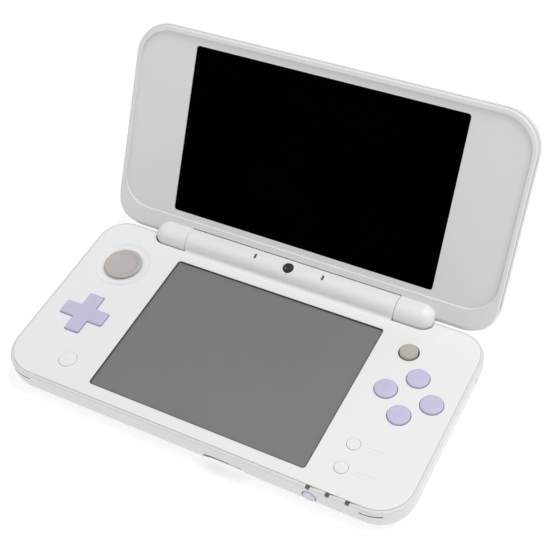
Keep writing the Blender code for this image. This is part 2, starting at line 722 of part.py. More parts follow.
def make_shoulder_buttons():
    """Rear-corner keys; each swings about an upright pin at its inner end."""
    names = ("inner_shoulder_button", "shoulder_button")
    for side, label in ((-1, "left"), (1, "right")):
        for (low_x, high_x), name in zip(shoulder_spans(), names):
            full_name = label + "_" + name
            origin = (side * (low_x + 0.4), BASE_REAR - 2.2, 6.4)
            mesh = wall_band(2.2, 3.0, 9.8)
            button = add_node(full_name, mesh, plastic(full_name + "_white", WARM_WHITE, 0.4), origin=origin)
            low, high = sorted((side * low_x, side * high_x))
            window = bmesh.new()
            add_box(window, (low, 26.6, 2.0), (high, BASE_REAR + 2, 11.0))
            keep(button, window)


def make_stylus():
    """Short stylus stored in the front recess, pulled out towards the user."""
    origin = (STYLUS_X, BASE_FRONT + 1.8, 4.2)
    mesh = bmesh.new()
    place = Matrix.Translation(point(*origin)) @ Matrix.Rotation(-math.pi / 2, 4, "X")
    rings = []
    for inset, length in ((0.5, 0.0), (0.1, 0.5), (0.1, 50.0), (1.0, 60.0), (1.5, 62.0)):
        rings.append((rounded_outline(-2.9 + inset, 2.9 - inset, -1.9 + inset, 1.9 - inset,
                                      max(1.6 - inset, 0.3)),
                      length))
    add_rings(mesh, rings, place)
    add_node("stylus", mesh, plastic("stylus_white", WARM_WHITE, 0.4), origin=origin)


def make_volume_slider():
    origin = (-HALF_WIDTH, 15.0, 7.3)
    mesh = bmesh.new()
    add_box(mesh, (-HALF_WIDTH - 0.4, 12.8, 6.6), (-HALF_WIDTH + 2.4, 17.2, 8.0), 0.3)
    slider = add_node("volume_slider", mesh, plastic("slider_white", WARM_WHITE, 0.45), origin=origin)
    shoe = bmesh.new()
    add_box(shoe, (-HALF_WIDTH + 2.3, 12.2, 6.2), (-HALF_WIDTH + 3.0, 17.8, 8.2))
    join(slider, shoe)


# ---------------------------------------------------------------- lid

def lid_ring(inset, bottom, height, top=None):
    """Outline of the lid, moved in by inset at its sides and top; bottom is a Y value."""
    top = inset if top is None else top
    outline = rounded_outline(-LID_HALF + inset, LID_HALF - inset, bottom, LID_TOP - top,
                              LID_LOW_RADIUS - inset, LID_HIGH_RADIUS - inset)
    return outline, height


def lid_hinge_cut(node, lid):
    mesh = bmesh.new()
    barrel_sweep(mesh, BARREL_RADIUS + 0.45, -KNUCKLE_INNER + 0.05, KNUCKLE_INNER - 0.05, 0.0, 0.0)
    cut(node, mesh, lid)


def make_lid_front_frame(lid):
    """Screen-side moulding of the lid: panel, raised rim and both hinge knuckles."""
    rings = [
        lid_ring(2.5, 7.9, PANEL_Z, 2.7),
        lid_ring(2.5, 7.9, CREST_Z - 0.15, 2.7),
        lid_ring(2.35, 7.75, CREST_Z, 2.55),
        lid_ring(1.6, 1.9, CREST_Z - 0.02),
        lid_ring(1.15, 1.25, CREST_Z - 0.35),
        lid_ring(0.9, 0.9, CREST_Z - 1.0),
        lid_ring(0.9, 0.9, LID_SEAM_Z),
    ]
    mesh = bmesh.new()
    add_rings(mesh, rings)
    frame = add_node("lid_front_frame", mesh, plastic("lid_panel_white", PANEL_WHITE, 0.5), lid)
    for side in (-1, 1):
        knuckle = bmesh.new()
        add_knuckle(knuckle, side, 0.0, 0.0, 0.0)
        join(frame, knuckle, lid)
    lid_hinge_cut(frame, lid)
    opening = bmesh.new()
    low = UPPER_CENTRE - UPPER_HEIGHT / 2
    high = UPPER_CENTRE + UPPER_HEIGHT / 2
    add_box(opening, (-UPPER_WIDTH / 2, low, PANEL_Z - 3), (UPPER_WIDTH / 2, high, PANEL_Z + 2), 1.2)
    add_turned(opening, [(2.15, KNUCKLE_INNER - 2), (2.15, 53.0)], along("x", (0, 0, 0)), steps=20)
    add_turned(opening, [(2.9, -KNUCKLE_INNER + 2), (2.9, -53.0)], along("x", (0, 0, 0)), steps=20)
    cut(frame, opening, lid)
    return frame


def make_lid_back_cover(lid):
    """Outer shell of the lid."""
    ledge = LID_SEAM_Z - GAP
    rings = [
        lid_ring(5.4, 6.0, LID_BACK_Z + 1.5),
        lid_ring(3.6, 3.6, -6.2),
        lid_ring(2.4, 2.4, ledge),
        lid_ring(0.6, 0.6, ledge),
        lid_ring(0.6, 0.6, LIP_Z),
        lid_ring(0.3, 0.0, LIP_Z - 0.05),
        lid_ring(0.05, -0.4, -2.1),
        lid_ring(0.0, -0.6, -2.5),
        lid_ring(0.1, -0.8, -3.3),
        lid_ring(0.4, LID_BOTTOM, -4.4),
        lid_ring(0.85, -0.8, -5.4),
        lid_ring(1.5, -0.3, -6.4),
        lid_ring(2.5, 0.6, -7.4),
        lid_ring(4.0, 2.1, -8.3),
        lid_ring(6.0, 4.1, -8.8),
        lid_ring(8.5, 6.6, LID_BACK_Z),
    ]
    mesh = bmesh.new()
    add_rings(mesh, rings)
    cover = add_node("lid_back_cover", mesh, plastic("lid_back_white", WHITE, 0.45), lid)
    lid_hinge_cut(cover, lid)
    for side in (-1, 1):
        mesh = bmesh.new()
        add_knuckle(mesh, side, GAP, 0.0, 0.0)
        cut(cover, mesh, lid)
    return cover


def make_lid_contents(lid):
    half_width = UPPER_WIDTH / 2 - SEAM
    low = UPPER_CENTRE - UPPER_HEIGHT / 2 + SEAM
    high = UPPER_CENTRE + UPPER_HEIGHT / 2 - SEAM
    simple_block("upper_window", (-half_width, low, PANEL_Z - 1.2), (half_width, high, PANEL_Z - 0.1),
                 plastic("upper_glass", BLACK, 0.08), 1.0, lid)
    simple_block("upper_lcd", (-56.0, 8.8, -5.6), (56.0, 77.0, -3.2),
                 plastic("upper_lcd_metal", STEEL, 0.35, 0.8), 0.8, lid)
    simple_block("lcd_bracket", (-58.5, 8.5, -6.6), (58.5, 76.3, -5.9),
                 plastic("bracket_steel", STEEL, 0.4, 0.9), 1.0, lid)
    simple_block("lid_magnet", (63.0, 60.0, -6.4), (68.0, 65.0, -4.4),
                 plastic("magnet_steel", STEEL, 0.3, 0.9), 0.6, lid)
    axis = along("x", (0, 0, 0))
    shaft = bmesh.new()
    add_turned(shaft, [(1.8, 38.8), (1.8, 52.0)], axis, steps=20)
    add_node("hinge_shaft", shaft, plastic("shaft_steel", STEEL, 0.25, 0.9), lid)
    sleeve = bmesh.new()
    add_turned(sleeve, [(2.0, -52.0), (2.6, -52.0), (2.6, -38.6), (2.0, -38.6)], axis, loop=True, steps=20)
    add_node("hinge_sleeve", sleeve, plastic("sleeve_steel", STEEL, 0.3, 0.9), lid)


def make_lid():
    lid = pivot("lid_pivot", (0, AXIS_Y, AXIS_Z))
    lid.rotation_euler = (math.radians(OPEN_ANGLE), 0, 0)
    make_lid_front_frame(lid)
    make_lid_back_cover(lid)
    make_lid_contents(lid)


def main():
    clear_scene()
    make_face_plate()
    make_base_frame()
    make_bottom_cover()
    make_lower_screen()
    make_electronics()
    make_barrel_contents()
    make_status_light_guide()
    make_screws()
    make_outer_camera_window()
    make_slide_pad()
    make_cross_key()
    make_buttons()
    make_nub_stick()
    make_power_button()
    make_card_door()
    make_shoulder_buttons()
    make_stylus()
    make_volume_slider()
    make_lid()


main()
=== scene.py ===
"""Looks of the opened clamshell handheld console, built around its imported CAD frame.

Lengths are millimetres and become metres in point(). Frame: +X to the user's right, +Y away from
the user, +Z up. Lid pieces are drawn in the lid's own frame (X along the hinge, Y up the lid,
Z out of its screen side) and placed by LID_PLACE.
"""

import json
import math

import bmesh
import bpy
from mathutils import Matrix, Vector


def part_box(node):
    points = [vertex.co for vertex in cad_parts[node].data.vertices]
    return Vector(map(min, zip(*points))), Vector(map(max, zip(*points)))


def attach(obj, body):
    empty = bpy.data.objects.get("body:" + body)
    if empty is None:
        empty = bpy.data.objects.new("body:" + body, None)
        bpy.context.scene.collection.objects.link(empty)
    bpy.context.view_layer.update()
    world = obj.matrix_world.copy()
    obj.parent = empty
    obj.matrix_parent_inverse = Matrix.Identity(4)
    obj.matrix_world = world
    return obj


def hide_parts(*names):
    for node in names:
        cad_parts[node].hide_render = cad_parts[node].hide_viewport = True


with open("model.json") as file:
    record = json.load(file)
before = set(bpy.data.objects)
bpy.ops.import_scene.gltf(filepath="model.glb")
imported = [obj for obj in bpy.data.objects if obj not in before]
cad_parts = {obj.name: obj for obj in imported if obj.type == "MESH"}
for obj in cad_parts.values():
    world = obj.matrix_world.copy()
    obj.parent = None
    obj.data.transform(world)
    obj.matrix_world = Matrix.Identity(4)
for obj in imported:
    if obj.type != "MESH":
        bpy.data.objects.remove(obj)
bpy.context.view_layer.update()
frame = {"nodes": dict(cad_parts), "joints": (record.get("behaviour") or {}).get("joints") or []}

MM = 0.001
JOINTS = {joint["name"]: joint for joint in frame["joints"]}


def low(node):
    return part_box(node)[0] / MM


def high(node):
    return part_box(node)[1] / MM


def middle(node):
    return (low(node) + high(node)) / 2


CORNER_STEPS = 20
ROUND_STEPS = 72

# Case sizes, taken from the CAD nodes
HALF_WIDTH = high("base_frame").x
BASE_FRONT = low("base_frame").y
BASE_REAR = high("base_frame").y
FRONT_RADIUS = 13.5
REAR_RADIUS = 11.0
COVER_TOP = high("bottom_cover").z
FRAME_BOTTOM = low("base_frame").z
FRAME_TOP = high("base_frame").z
PLATE_BOTTOM = 10.3
LEDGE_TOP = 10.0
FLOOR_TOP = 1.6
TUCK_RADIUS = 6.8
PLATE_INSET = -BASE_FRONT + low("face_plate").y
SEAM = 0.05
TUCK_SHARE = 0.96             # how far round its quarter circle the tuck goes
FRAME_LAP = 0.1               # how far the frame and the bottom cover reach past their joint

# Hinge
HINGE = Vector(JOINTS["lid_hinge"]["pos_m"]) / MM
AXIS_Y = HINGE.y
AXIS_Z = HINGE.z
PLATE_TOP = AXIS_Z
BARREL_RADIUS = high("face_plate").z - AXIS_Z
BARREL_BORE = 3.9
BARREL_HALF = 43.65
KNUCKLE_INNER = 43.8
KNUCKLE_OUTER = 58.0
KNUCKLE_GAP = 0.5             # between the lid's knuckles and the base
BARREL_GAP = 0.35             # between the base's barrel and the pieces round it
LID_SLOPE = Matrix.Rotation(math.radians(59.67), 4, "X")
LID_PLACE = Matrix.Translation(HINGE * MM) @ LID_SLOPE

# Screens
LOWER_WIDTH = 86.0
LOWER_DEPTH = 64.5
TOUCH_TOP = high("touch_window").z
TOUCH_POCKET = (46.0, 34.6)   # half sizes of the plate's pocket for the touch screen
UPPER_WIDTH = 108.0
UPPER_HEIGHT = 65.0
UPPER_CENTRE = 42.8
SCREEN_CORNER = 1.2

# Lid, in its own frame
PANEL_Z = -1.4
CREST_Z = -0.4
LID_SEAM_Z = -2.9             # ledge where the two lid mouldings meet, behind the lip
LIP_Z = -1.4                  # edge of the outer shell's lip round the screen-side moulding
LID_BACK_Z = -9.0
LID_TOP = 81.1
LID_HALF = 79.8
LID_BOTTOM = -0.9
LID_LOW_RADIUS = 12.5
LID_HIGH_RADIUS = 15.0

SHARP_ANGLE = math.radians(40)


# ---- mesh helpers

def point(x, y, z):
    return Vector((x, y, z)) * MM


def at(x, y, z=0.0):
    return Matrix.Translation(point(x, y, z))


def turned_to(axis, x, y, z):
    """Local Z turned onto the X or Y axis, at a place in millimetres."""
    turns = {"x": Matrix.Rotation(math.pi / 2, 4, "Y"), "y": Matrix.Rotation(-math.pi / 2, 4, "X")}
    return at(x, y, z) @ turns[axis]


# Turns an outline's two axes into Y and Z, and its height into X
SIDEWAYS = Matrix(((0, 0, 1, 0), (1, 0, 0, 0), (0, 1, 0, 0), (0, 0, 0, 1)))


def rounded_outline(low_x, high_x, low_y, high_y, low_radius, high_radius=None, steps=CORNER_STEPS):
    high_radius = low_radius if high_radius is None else high_radius
    corners = (
        (high_x - low_radius, low_y + low_radius, low_radius, -90),
        (high_x - high_radius, high_y - high_radius, high_radius, 0),
        (low_x + high_radius, high_y - high_radius, high_radius, 90),
        (low_x + low_radius, low_y + low_radius, low_radius, 180),
    )
    points = []
    for centre_x, centre_y, radius, start in corners:
        for step in range(steps + 1):
            angle = math.radians(start + 90 * step / steps)
            points.append((centre_x + radius * math.cos(angle), centre_y + radius * math.sin(angle)))
    return points


def centred(half_x, half_y, radius, steps=CORNER_STEPS):
    """Rounded rectangle about the origin."""
    return rounded_outline(-half_x, half_x, -half_y, half_y, radius, steps=steps)


def case_outline(inset):
    return rounded_outline(-HALF_WIDTH + inset, HALF_WIDTH - inset, BASE_FRONT + inset, BASE_REAR - inset,
                           max(FRONT_RADIUS - inset, 1.0), max(REAR_RADIUS - inset, 1.0))


def circle(radius, centre=(0.0, 0.0), steps=ROUND_STEPS):
    angles = [2 * math.pi * step / steps for step in range(steps)]
    return [(centre[0] + radius * math.cos(a), centre[1] + radius * math.sin(a)) for a in angles]


def shifted(points, centre):
    return [(x + centre[0], y + centre[1]) for x, y in points]


def add_rings(mesh, rings, place=None, loop=False):
    """Skin a list of (outline, height) rings; caps the ends, or joins them when loop is set."""
    place = place or Matrix.Identity(4)
    layers = [[mesh.verts.new(place @ point(x, y, height)) for x, y in outline] for outline, height in rings]
    pairs = list(zip(layers, layers[1:]))
    if loop:
        pairs.append((layers[-1], layers[0]))
    for lower, upper in pairs:
        count = len(lower)
        for index in range(count):
            following = (index + 1) % count
            mesh.faces.new((lower[index], lower[following], upper[following], upper[index]))
    if not loop:
        mesh.faces.new(list(reversed(layers[0])))
        mesh.faces.new(layers[-1])
    return mesh


def prism(outline, bottom, top, place=None):
    return add_rings(bmesh.new(), [(outline, bottom), (outline, top)], place)


def turned(profile, place=None, loop=False, steps=ROUND_STEPS):
    """Turn (radius, height) points about the local Z axis."""
    return add_rings(bmesh.new(), [(circle(radius, steps=steps), height) for radius, height in profile],
                     place, loop)


def box(low_corner, high_corner, radius=0.0, place=None):
    x0, y0, z0 = low_corner
    x1, y1, z1 = high_corner
    if radius:
        outline = rounded_outline(x0, x1, y0, y1, radius, steps=8)
    else:
        outline = [(x0, y0), (x1, y0), (x1, y1), (x0, y1)]
    return prism(outline, z0, z1, place)


def arc(centre, radius, start, stop, steps=6):
    """(a, b) points of an arc between two angles in degrees."""
    points = []
    for step in range(steps + 1):
        angle = math.radians(start + (stop - start) * step / steps)
        points.append((centre[0] + radius * math.cos(angle), centre[1] + radius * math.sin(angle)))
    return points


def together(meshes):
    """Several separate shapes as one mesh."""
    result = bmesh.new()
    for mesh in meshes:
        data = bpy.data.meshes.new("shape")
        mesh.to_mesh(data)
        mesh.free()
        result.from_mesh(data)
        bpy.data.meshes.remove(data)
    return result


def mesh_object(name, mesh):
    bmesh.ops.recalc_face_normals(mesh, faces=mesh.faces)
    data = bpy.data.meshes.new(name)
    mesh.to_mesh(data)
    mesh.free()
    item = bpy.data.objects.new(name, data)
    bpy.context.scene.collection.objects.link(item)
    return item


def combine(item, mesh, operation):
    """Cut, join or intersect with an exact Boolean, applied at once."""
    other = mesh_object("tool", mesh)
    modifier = item.modifiers.new("combine", "BOOLEAN")
    modifier.operation = operation
    modifier.solver = "EXACT"
    modifier.object = other
    depsgraph = bpy.context.evaluated_depsgraph_get()
    data = bpy.data.meshes.new_from_object(item.evaluated_get(depsgraph))
    item.modifiers.clear()
    old_data = item.data
    item.data = data
    tool_data = other.data
    bpy.data.objects.remove(other)
    bpy.data.meshes.remove(tool_data)
    bpy.data.meshes.remove(old_data)
    return item


def cut(item, mesh):
    return combine(item, mesh, "DIFFERENCE")


def join(item, mesh):
    return combine(item, mesh, "UNION")


def keep(item, mesh):
    return combine(item, mesh, "INTERSECT")


def finished(item, material, body, node):
    """Smooth the piece, give it its material, tie it to its body and hide the CAD node it stands for."""
    item.data.materials.clear()
    item.data.materials.append(material)
    item.data.shade_smooth()
    item.data.set_sharp_from_angle(angle=SHARP_ANGLE)
    weighted = item.modifiers.new("weighted", "WEIGHTED_NORMAL")
    weighted.keep_sharp = True
    weighted.weight = 90
    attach(item, body)
    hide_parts(node)


# ---- materials

def new_material(name):
    material = bpy.data.materials.new(name)
    material.use_nodes = True
    return material, material.node_tree


def add_link(tree, source, target):
    tree.links.new(source, target)


def noise(tree, scale, detail):
    """Object-space noise; scale is in features per metre."""
    coordinates = tree.nodes.new("ShaderNodeTexCoord")
    texture = tree.nodes.new("ShaderNodeTexNoise")
    texture.inputs["Scale"].default_value = scale
    texture.inputs["Detail"].default_value = detail
    texture.inputs["Roughness"].default_value = 0.55
    add_link(tree, coordinates.outputs["Object"], texture.inputs["Vector"])
    return texture.outputs["Fac"]


def ramp(tree, source, low_colour, high_colour):
    node = tree.nodes.new("ShaderNodeValToRGB")
    stops = (0.3, low_colour), (0.7, high_colour)
    for element, (position, colour) in zip(node.color_ramp.elements, stops):
        element.position = position
        element.color = (*colour, 1.0)
    add_link(tree, source, node.inputs["Fac"])
    return node.outputs["Color"]


def remap(tree, source, low_value, high_value):
    node = tree.nodes.new("ShaderNodeMapRange")
    node.inputs["To Min"].default_value = low_value
    node.inputs["To Max"].default_value = high_value
    node.inputs["From Min"].default_value = 0.25
    node.inputs["From Max"].default_value = 0.75
    add_link(tree, source, node.inputs["Value"])
    return node.outputs["Result"]


def bump(tree, source, distance_mm, strength=1.0, normal=None):
    node = tree.nodes.new("ShaderNodeBump")
    node.inputs["Distance"].default_value = distance_mm * MM
    node.inputs["Strength"].default_value = strength
    add_link(tree, source, node.inputs["Height"])
    if normal is not None:
        add_link(tree, normal, node.inputs["Normal"])
    return node.outputs["Normal"]


def scaled(colour, factor):
    return tuple(min(channel * factor, 1.0) for channel in colour)


def moulded(name, colour, roughness, grain_mm=0.35, grain_depth=0.006, mottle=0.02, specular=0.5):
    """Moulded plastic: fine grain in the bump, slow drift in colour, uneven gloss."""
    material, tree = new_material(name)
    shader = tree.nodes["Principled BSDF"]
    drift = noise(tree, 28.0, 5.0)
    grain = noise(tree, 1000.0 / grain_mm, 3.0)
    gloss = noise(tree, 220.0, 6.0)
    tint = ramp(tree, drift, scaled(colour, 1.0 - mottle), scaled(colour, 1.0 + mottle))
    waves = bump(tree, drift, grain_depth * 2.0, 0.4)
    add_link(tree, tint, shader.inputs["Base Color"])
    add_link(tree, remap(tree, gloss, roughness - 0.05, roughness + 0.05), shader.inputs["Roughness"])
    add_link(tree, bump(tree, grain, grain_depth, 0.8, waves), shader.inputs["Normal"])
    shader.inputs["Specular IOR Level"].default_value = specular
    return material


def brushed_metal(name, colour, roughness=0.3):
    """Pressed steel with rolling marks along one axis."""
    material, tree = new_material(name)
    shader = tree.nodes["Principled BSDF"]
    coordinates = tree.nodes.new("ShaderNodeTexCoord")
    stretch = tree.nodes.new("ShaderNodeMapping")
    stretch.inputs["Scale"].default_value = (40.0, 1800.0, 1800.0)
    texture = tree.nodes.new("ShaderNodeTexNoise")
    texture.inputs["Scale"].default_value = 1.0
    add_link(tree, coordinates.outputs["Object"], stretch.inputs["Vector"])
    add_link(tree, stretch.outputs["Vector"], texture.inputs["Vector"])
    streaks = texture.outputs["Fac"]
    tint = ramp(tree, streaks, scaled(colour, 0.9), scaled(colour, 1.05))
    add_link(tree, tint, shader.inputs["Base Color"])
    add_link(tree, remap(tree, streaks, roughness - 0.08, roughness + 0.1), shader.inputs["Roughness"])
    add_link(tree, bump(tree, streaks, 0.01, 0.5), shader.inputs["Normal"])
    shader.inputs["Metallic"].default_value = 1.0
    return material


SHELL = moulded("shell_white", (0.83, 0.835, 0.84), 0.40, mottle=0.008)
# Pieces on the base's walls and underside take the shell's white made darker and a little warmer; the
# darkening is painted shade.
WALL_PAINTED_SHADE = moulded("wall_white", (0.71, 0.708, 0.698), 0.42, mottle=0.01)
# The lid's screen-side moulding: its panel takes the shell's white made darker, painted shade, and its rim a
# slightly lighter white than the panel, painted light.
RIM_PAINTED_LIGHT = moulded("lid_rim_white_painted_light", (0.76, 0.76, 0.755), 0.42, mottle=0.01)
PANEL_PAINTED_SHADE = moulded("panel_white", (0.74, 0.745, 0.765), 0.5, grain_mm=0.3, grain_depth=0.012, mottle=0.01)
# The lid's outer shell takes the shell's white made darker so the lamp behind it does not wash it out:
# painted shade.
BACK_PAINTED_SHADE = moulded("lid_back_white", (0.75, 0.75, 0.745), 0.38, grain_mm=0.4, mottle=0.008)
LAVENDER = moulded("lavender_plastic", (0.555, 0.54, 0.72), 0.42, grain_mm=0.3)
PALE = moulded("pale_lavender", (0.66, 0.65, 0.74), 0.42, grain_mm=0.3)
PAD = moulded("pad_grey_rubber", (0.485, 0.455, 0.44), 0.62, grain_mm=0.18, grain_depth=0.02, mottle=0.04,
              specular=0.35)
NUB = moulded("nub_grey_rubber", (0.475, 0.45, 0.405), 0.6, grain_depth=0.05, mottle=0.05, specular=0.35)
GLASS_BLACK = moulded("upper_screen_black", (0.0004, 0.0004, 0.0004), 0.35, grain_mm=2.0, grain_depth=0.001,
                      mottle=0.3, specular=0.0)
TOUCH = moulded("touch_screen_grey", (0.195, 0.196, 0.198), 0.5, grain_mm=0.12, specular=0.3)
LENS = moulded("lens_black", (0.02, 0.02, 0.022), 0.12, grain_mm=1.0, grain_depth=0.002, mottle=0.2)
DARK = moulded("dark_plastic", (0.035, 0.033, 0.033), 0.5, grain_mm=0.3, grain_depth=0.01, mottle=0.15)
# Dark gasket colour, also used as painted shade on the wall of the touch screen's recess.
GASKET_AND_SHADE = moulded("gasket_dark_painted_shade", (0.05, 0.05, 0.052), 0.7, grain_mm=0.2, grain_depth=0.02, mottle=0.15)
GUIDE = moulded("light_guide_smoke", (0.09, 0.08, 0.075), 0.25, grain_mm=0.6, grain_depth=0.004, mottle=0.2)
STEEL = brushed_metal("pressed_steel", (0.58, 0.58, 0.60))
SCREW = brushed_metal("screw_steel", (0.50, 0.50, 0.52), 0.25)
FOIL = brushed_metal("lcd_foil", (0.62, 0.63, 0.65), 0.4)
BOARD = moulded("board_green", (0.02, 0.16, 0.07), 0.4, grain_mm=1.2, grain_depth=0.03, mottle=0.3)
BATTERY = moulded("battery_wrap", (0.05, 0.05, 0.055), 0.45, grain_mm=0.8, grain_depth=0.01, mottle=0.2)
RUBBER = moulded("membrane_rubber", (0.28, 0.28, 0.29), 0.8, grain_mm=0.3, grain_depth=0.02, mottle=0.08)
COPPER = moulded("cable_copper", (0.45, 0.22, 0.08), 0.5, grain_mm=0.5, grain_depth=0.02, mottle=0.2)


# ---- shells of the base

def wall_inset(height):
    """How far the case's side tucks in at a height: upright above, rounded under below."""
    if height >= TUCK_RADIUS:
        return 0.0
    drop = (TUCK_RADIUS - height) / TUCK_RADIUS
    return TUCK_RADIUS * (1.0 - math.sqrt(1.0 - drop * drop * TUCK_SHARE))


def case_ring(inset, height):
    return case_outline(inset), height


def barrel(radius, low_x, high_x, place=None):
    place = place or at(0, AXIS_Y, AXIS_Z)
    return turned([(radius, low_x), (radius, high_x)], place @ turned_to("x", 0, 0, 0))


def knuckle(side, grow=0.0, place=None):
    """Bullet-ended hinge knuckle of the lid."""
    place = place or at(0, AXIS_Y, AXIS_Z)
    radius = BARREL_RADIUS + grow
    nose = 5.0
    shoulder = KNUCKLE_OUTER + grow - nose
    edge = 0.0 if grow else 0.3
    profile = [(radius - edge, KNUCKLE_INNER - grow), (radius, KNUCKLE_INNER - grow + max(edge, 0.01)),
               (radius, shoulder)]
    for step in range(1, 17):
        angle = math.radians(72 * step / 16)
        profile.append((radius * (0.25 + 0.75 * math.cos(angle)), shoulder + nose * math.sin(angle)))
    return turned([(r, side * x) for r, x in profile], place @ turned_to("x", 0, 0, 0))


def flared(outline_at, centre, bottom, top, edge):
    """Cutter that opens out by edge at the top, so the hole it makes has a rounded rim."""
    rings = [(shifted(outline_at(0.0), centre), bottom)]
    for angle in (0, 22.5, 45, 67.5, 85):
        grow = edge * (1 - math.cos(math.radians(angle)))
        rings.append((shifted(outline_at(grow), centre), top - edge + edge * math.sin(math.radians(angle))))
    rings.append((shifted(outline_at(edge), centre), top + 0.001))
    rings.append((shifted(outline_at(edge), centre), top + 1.0))
    return add_rings(bmesh.new(), rings)


def round_cutter(radius, centre, edge):
    return flared(lambda grow: circle(radius + grow), centre, PLATE_BOTTOM - 1, PLATE_TOP, edge)


def centre_of(node):
    return middle(node).x, middle(node).y


CROSS_CENTRE = centre_of("cross_key")
CROSS_SPAN = 18.6
CROSS_ARM = 6.2
CROSS_CORNER = 0.9
CROSS_FILLET = 0.35
PAD_CENTRE = centre_of("slide_pad")
NUB_CENTRE = centre_of("nub_stick")
NUB_RADIUS = 3.3
NUB_GAP = 0.45
FACE_NAMES = ("face_button_north", "face_button_east", "face_button_south", "face_button_west")
FACE_RADIUS = 4.02
BUTTON_GAP = 0.17             # round the cross key and the face keys
KEY_RIM = 0.18                # rounding of the plate's edge at those keys
SMALL_KEY_RADIUS = 2.4
HOME_KEY_RADIUS = 3.4
SMALL_KEY_GAP = 0.1
SMALL_KEY_RIM = 0.06
DASH_LENGTHS = {"start_button": 6.0, "select_button": 7.6}
DASH_OFFSET = 4.4             # from a small key's centre to the near end of its dashes
DASH_SPREAD = 0.75
POWER_FLANGE = 0.4            # how far the power key's flange stands out beyond its body
POWER_GAP = 0.12
CAMERA_LEAN = 15
LIGHT_LEAN = 10


def cross_outline(span, arm, corner=CROSS_CORNER):
    """A plus sign with rounded arm corners and small fillets in its inner corners."""
    far = span / 2 - corner
    near = arm / 2
    quarter = arc((far, corner - near), corner, -90, 0, 4) + arc((far, near - corner), corner, 0, 90, 4)
    quarter += arc((near + CROSS_FILLET, near + CROSS_FILLET), CROSS_FILLET, 270, 180, 3)
    points = []
    for turn in range(4):
        cosine = math.cos(turn * math.pi / 2)
        sine = math.sin(turn * math.pi / 2)
        points += [(x * cosine - y * sine, x * sine + y * cosine) for x, y in quarter]
    return points


def make_face_plate():
    edge = 0.22
    rings = [(PLATE_INSET, PLATE_BOTTOM), (PLATE_INSET, PLATE_TOP - edge)]
    rings += arc((PLATE_INSET + edge, PLATE_TOP - edge), edge, 165, 90, 5)
    plate = mesh_object("plate_with_barrel", add_rings(bmesh.new(), [case_ring(a, z) for a, z in rings]))
    half_cut = KNUCKLE_INNER - 0.2
    cut(plate, barrel(BARREL_RADIUS - 0.6, -half_cut, half_cut))
    for side in (-1, 1):
        cut(plate, knuckle(side, KNUCKLE_GAP))
    cut(plate, box((-half_cut, AXIS_Y - 3, 0), (half_cut, AXIS_Y + 9, 20)))
    edge = 0.3
    tube = [(BARREL_BORE, -BARREL_HALF), (BARREL_RADIUS - edge, -BARREL_HALF)]
    tube += arc((BARREL_RADIUS - edge, edge - BARREL_HALF), edge, -75, 0, 4)
    tube += [(radius, -x) for radius, x in reversed(tube)]
    join(plate, turned(tube, turned_to("x", 0, AXIS_Y, AXIS_Z), loop=True, steps=120))
    join(plate, prism(barrel_web(1.4), edge - BARREL_HALF, BARREL_HALF - edge, SIDEWAYS))
    open_screen_and_keys(plate)
    add_dashes(plate)
    cut(plate, turned([(2.15, 3.0), (2.15, 4.9), (2.3, 5.15), (2.6, 5.6)], camera_place(0, CAMERA_LEAN)))
    for x in (middle("camera_light").x, middle("microphone").x):
        cut(plate, prism(centred(0.5, 1.1, 0.49, 8), 3.0, 7.0, camera_place(x, LIGHT_LEAN)))
    finished(plate, SHELL, "base", "face_plate")


def open_screen_and_keys(plate):
    """Openings in the plate's top, each with a rounded rim."""
    below = PLATE_BOTTOM - 1

    def screen(grow):
        return centred(LOWER_WIDTH / 2 + grow, LOWER_DEPTH / 2 + grow, SCREEN_CORNER + grow)

    def cross(grow):
        gap = 2 * (BUTTON_GAP + grow)
        return cross_outline(CROSS_SPAN + gap, CROSS_ARM + gap)

    cut(plate, flared(screen, (0, 0), below, PLATE_TOP, 0.25))
    half_width, half_depth = TOUCH_POCKET
    cut(plate, box((-half_width, -half_depth, below), (half_width, half_depth, TOUCH_TOP + 0.05)))
    dish = [(6.0, below), (6.0, 11.38), (7.4, 11.40), (9.0, 11.44), (9.7, 11.50), (10.2, 11.62),
            (10.5, 11.74), (10.62, 11.80), (10.62, 11.9), (10.62, 13.0)]
    cut(plate, turned(dish, at(*PAD_CENTRE)))
    groove = [(10.75, 11.62), (10.95, 11.62), (11.05, 11.82), (11.05, 12.5), (10.65, 12.5), (10.65, 11.82)]
    cut(plate, turned(groove, at(*PAD_CENTRE), loop=True))
    cut(plate, flared(cross, CROSS_CENTRE, below, PLATE_TOP, KEY_RIM))
    for name in FACE_NAMES:
        cut(plate, round_cutter(FACE_RADIUS + BUTTON_GAP, centre_of(name), KEY_RIM))
    cut(plate, round_cutter(NUB_RADIUS + NUB_GAP, NUB_CENTRE, 0.25))
    for name in DASH_LENGTHS:
        cut(plate, round_cutter(SMALL_KEY_RADIUS + SMALL_KEY_GAP, centre_of(name), SMALL_KEY_RIM))
    cut(plate, round_cutter(HOME_KEY_RADIUS + SMALL_KEY_GAP, centre_of("home_button"), SMALL_KEY_RIM))


def add_dashes(plate):
    """Two plain raised dashes beside each small key."""
    for name, length in DASH_LENGTHS.items():
        x, y = centre_of(name)
        for offset in (-DASH_SPREAD, DASH_SPREAD):
            place = at(x + DASH_OFFSET + length / 2, y + offset)
            join(plate, prism(centred(length / 2, 0.22, 0.2, 5), PLATE_TOP - 0.3, PLATE_TOP + 0.07, place))


def barrel_web(fillet):
    """(y, z) outline of the plate's run up to the barrel, with a fillet touching both."""
    reach = math.sqrt(BARREL_RADIUS ** 2 + 2 * BARREL_RADIUS * fillet)
    start_y = AXIS_Y - reach
    stop = -90 + math.degrees(math.atan2(reach, fillet))
    inside = AXIS_Y - 4.2
    under = PLATE_TOP - 0.6
    return arc((start_y, PLATE_TOP + fillet), fillet, -90, stop, 10) + [
        (inside, AXIS_Z + 1.2), (inside, under), (start_y, under)]


def camera_place(x, lean):
    """Local +Z out of the barrel's top, leaning lean degrees towards the user."""
    return at(x, AXIS_Y, AXIS_Z) @ Matrix.Rotation(math.radians(lean), 4, "X")


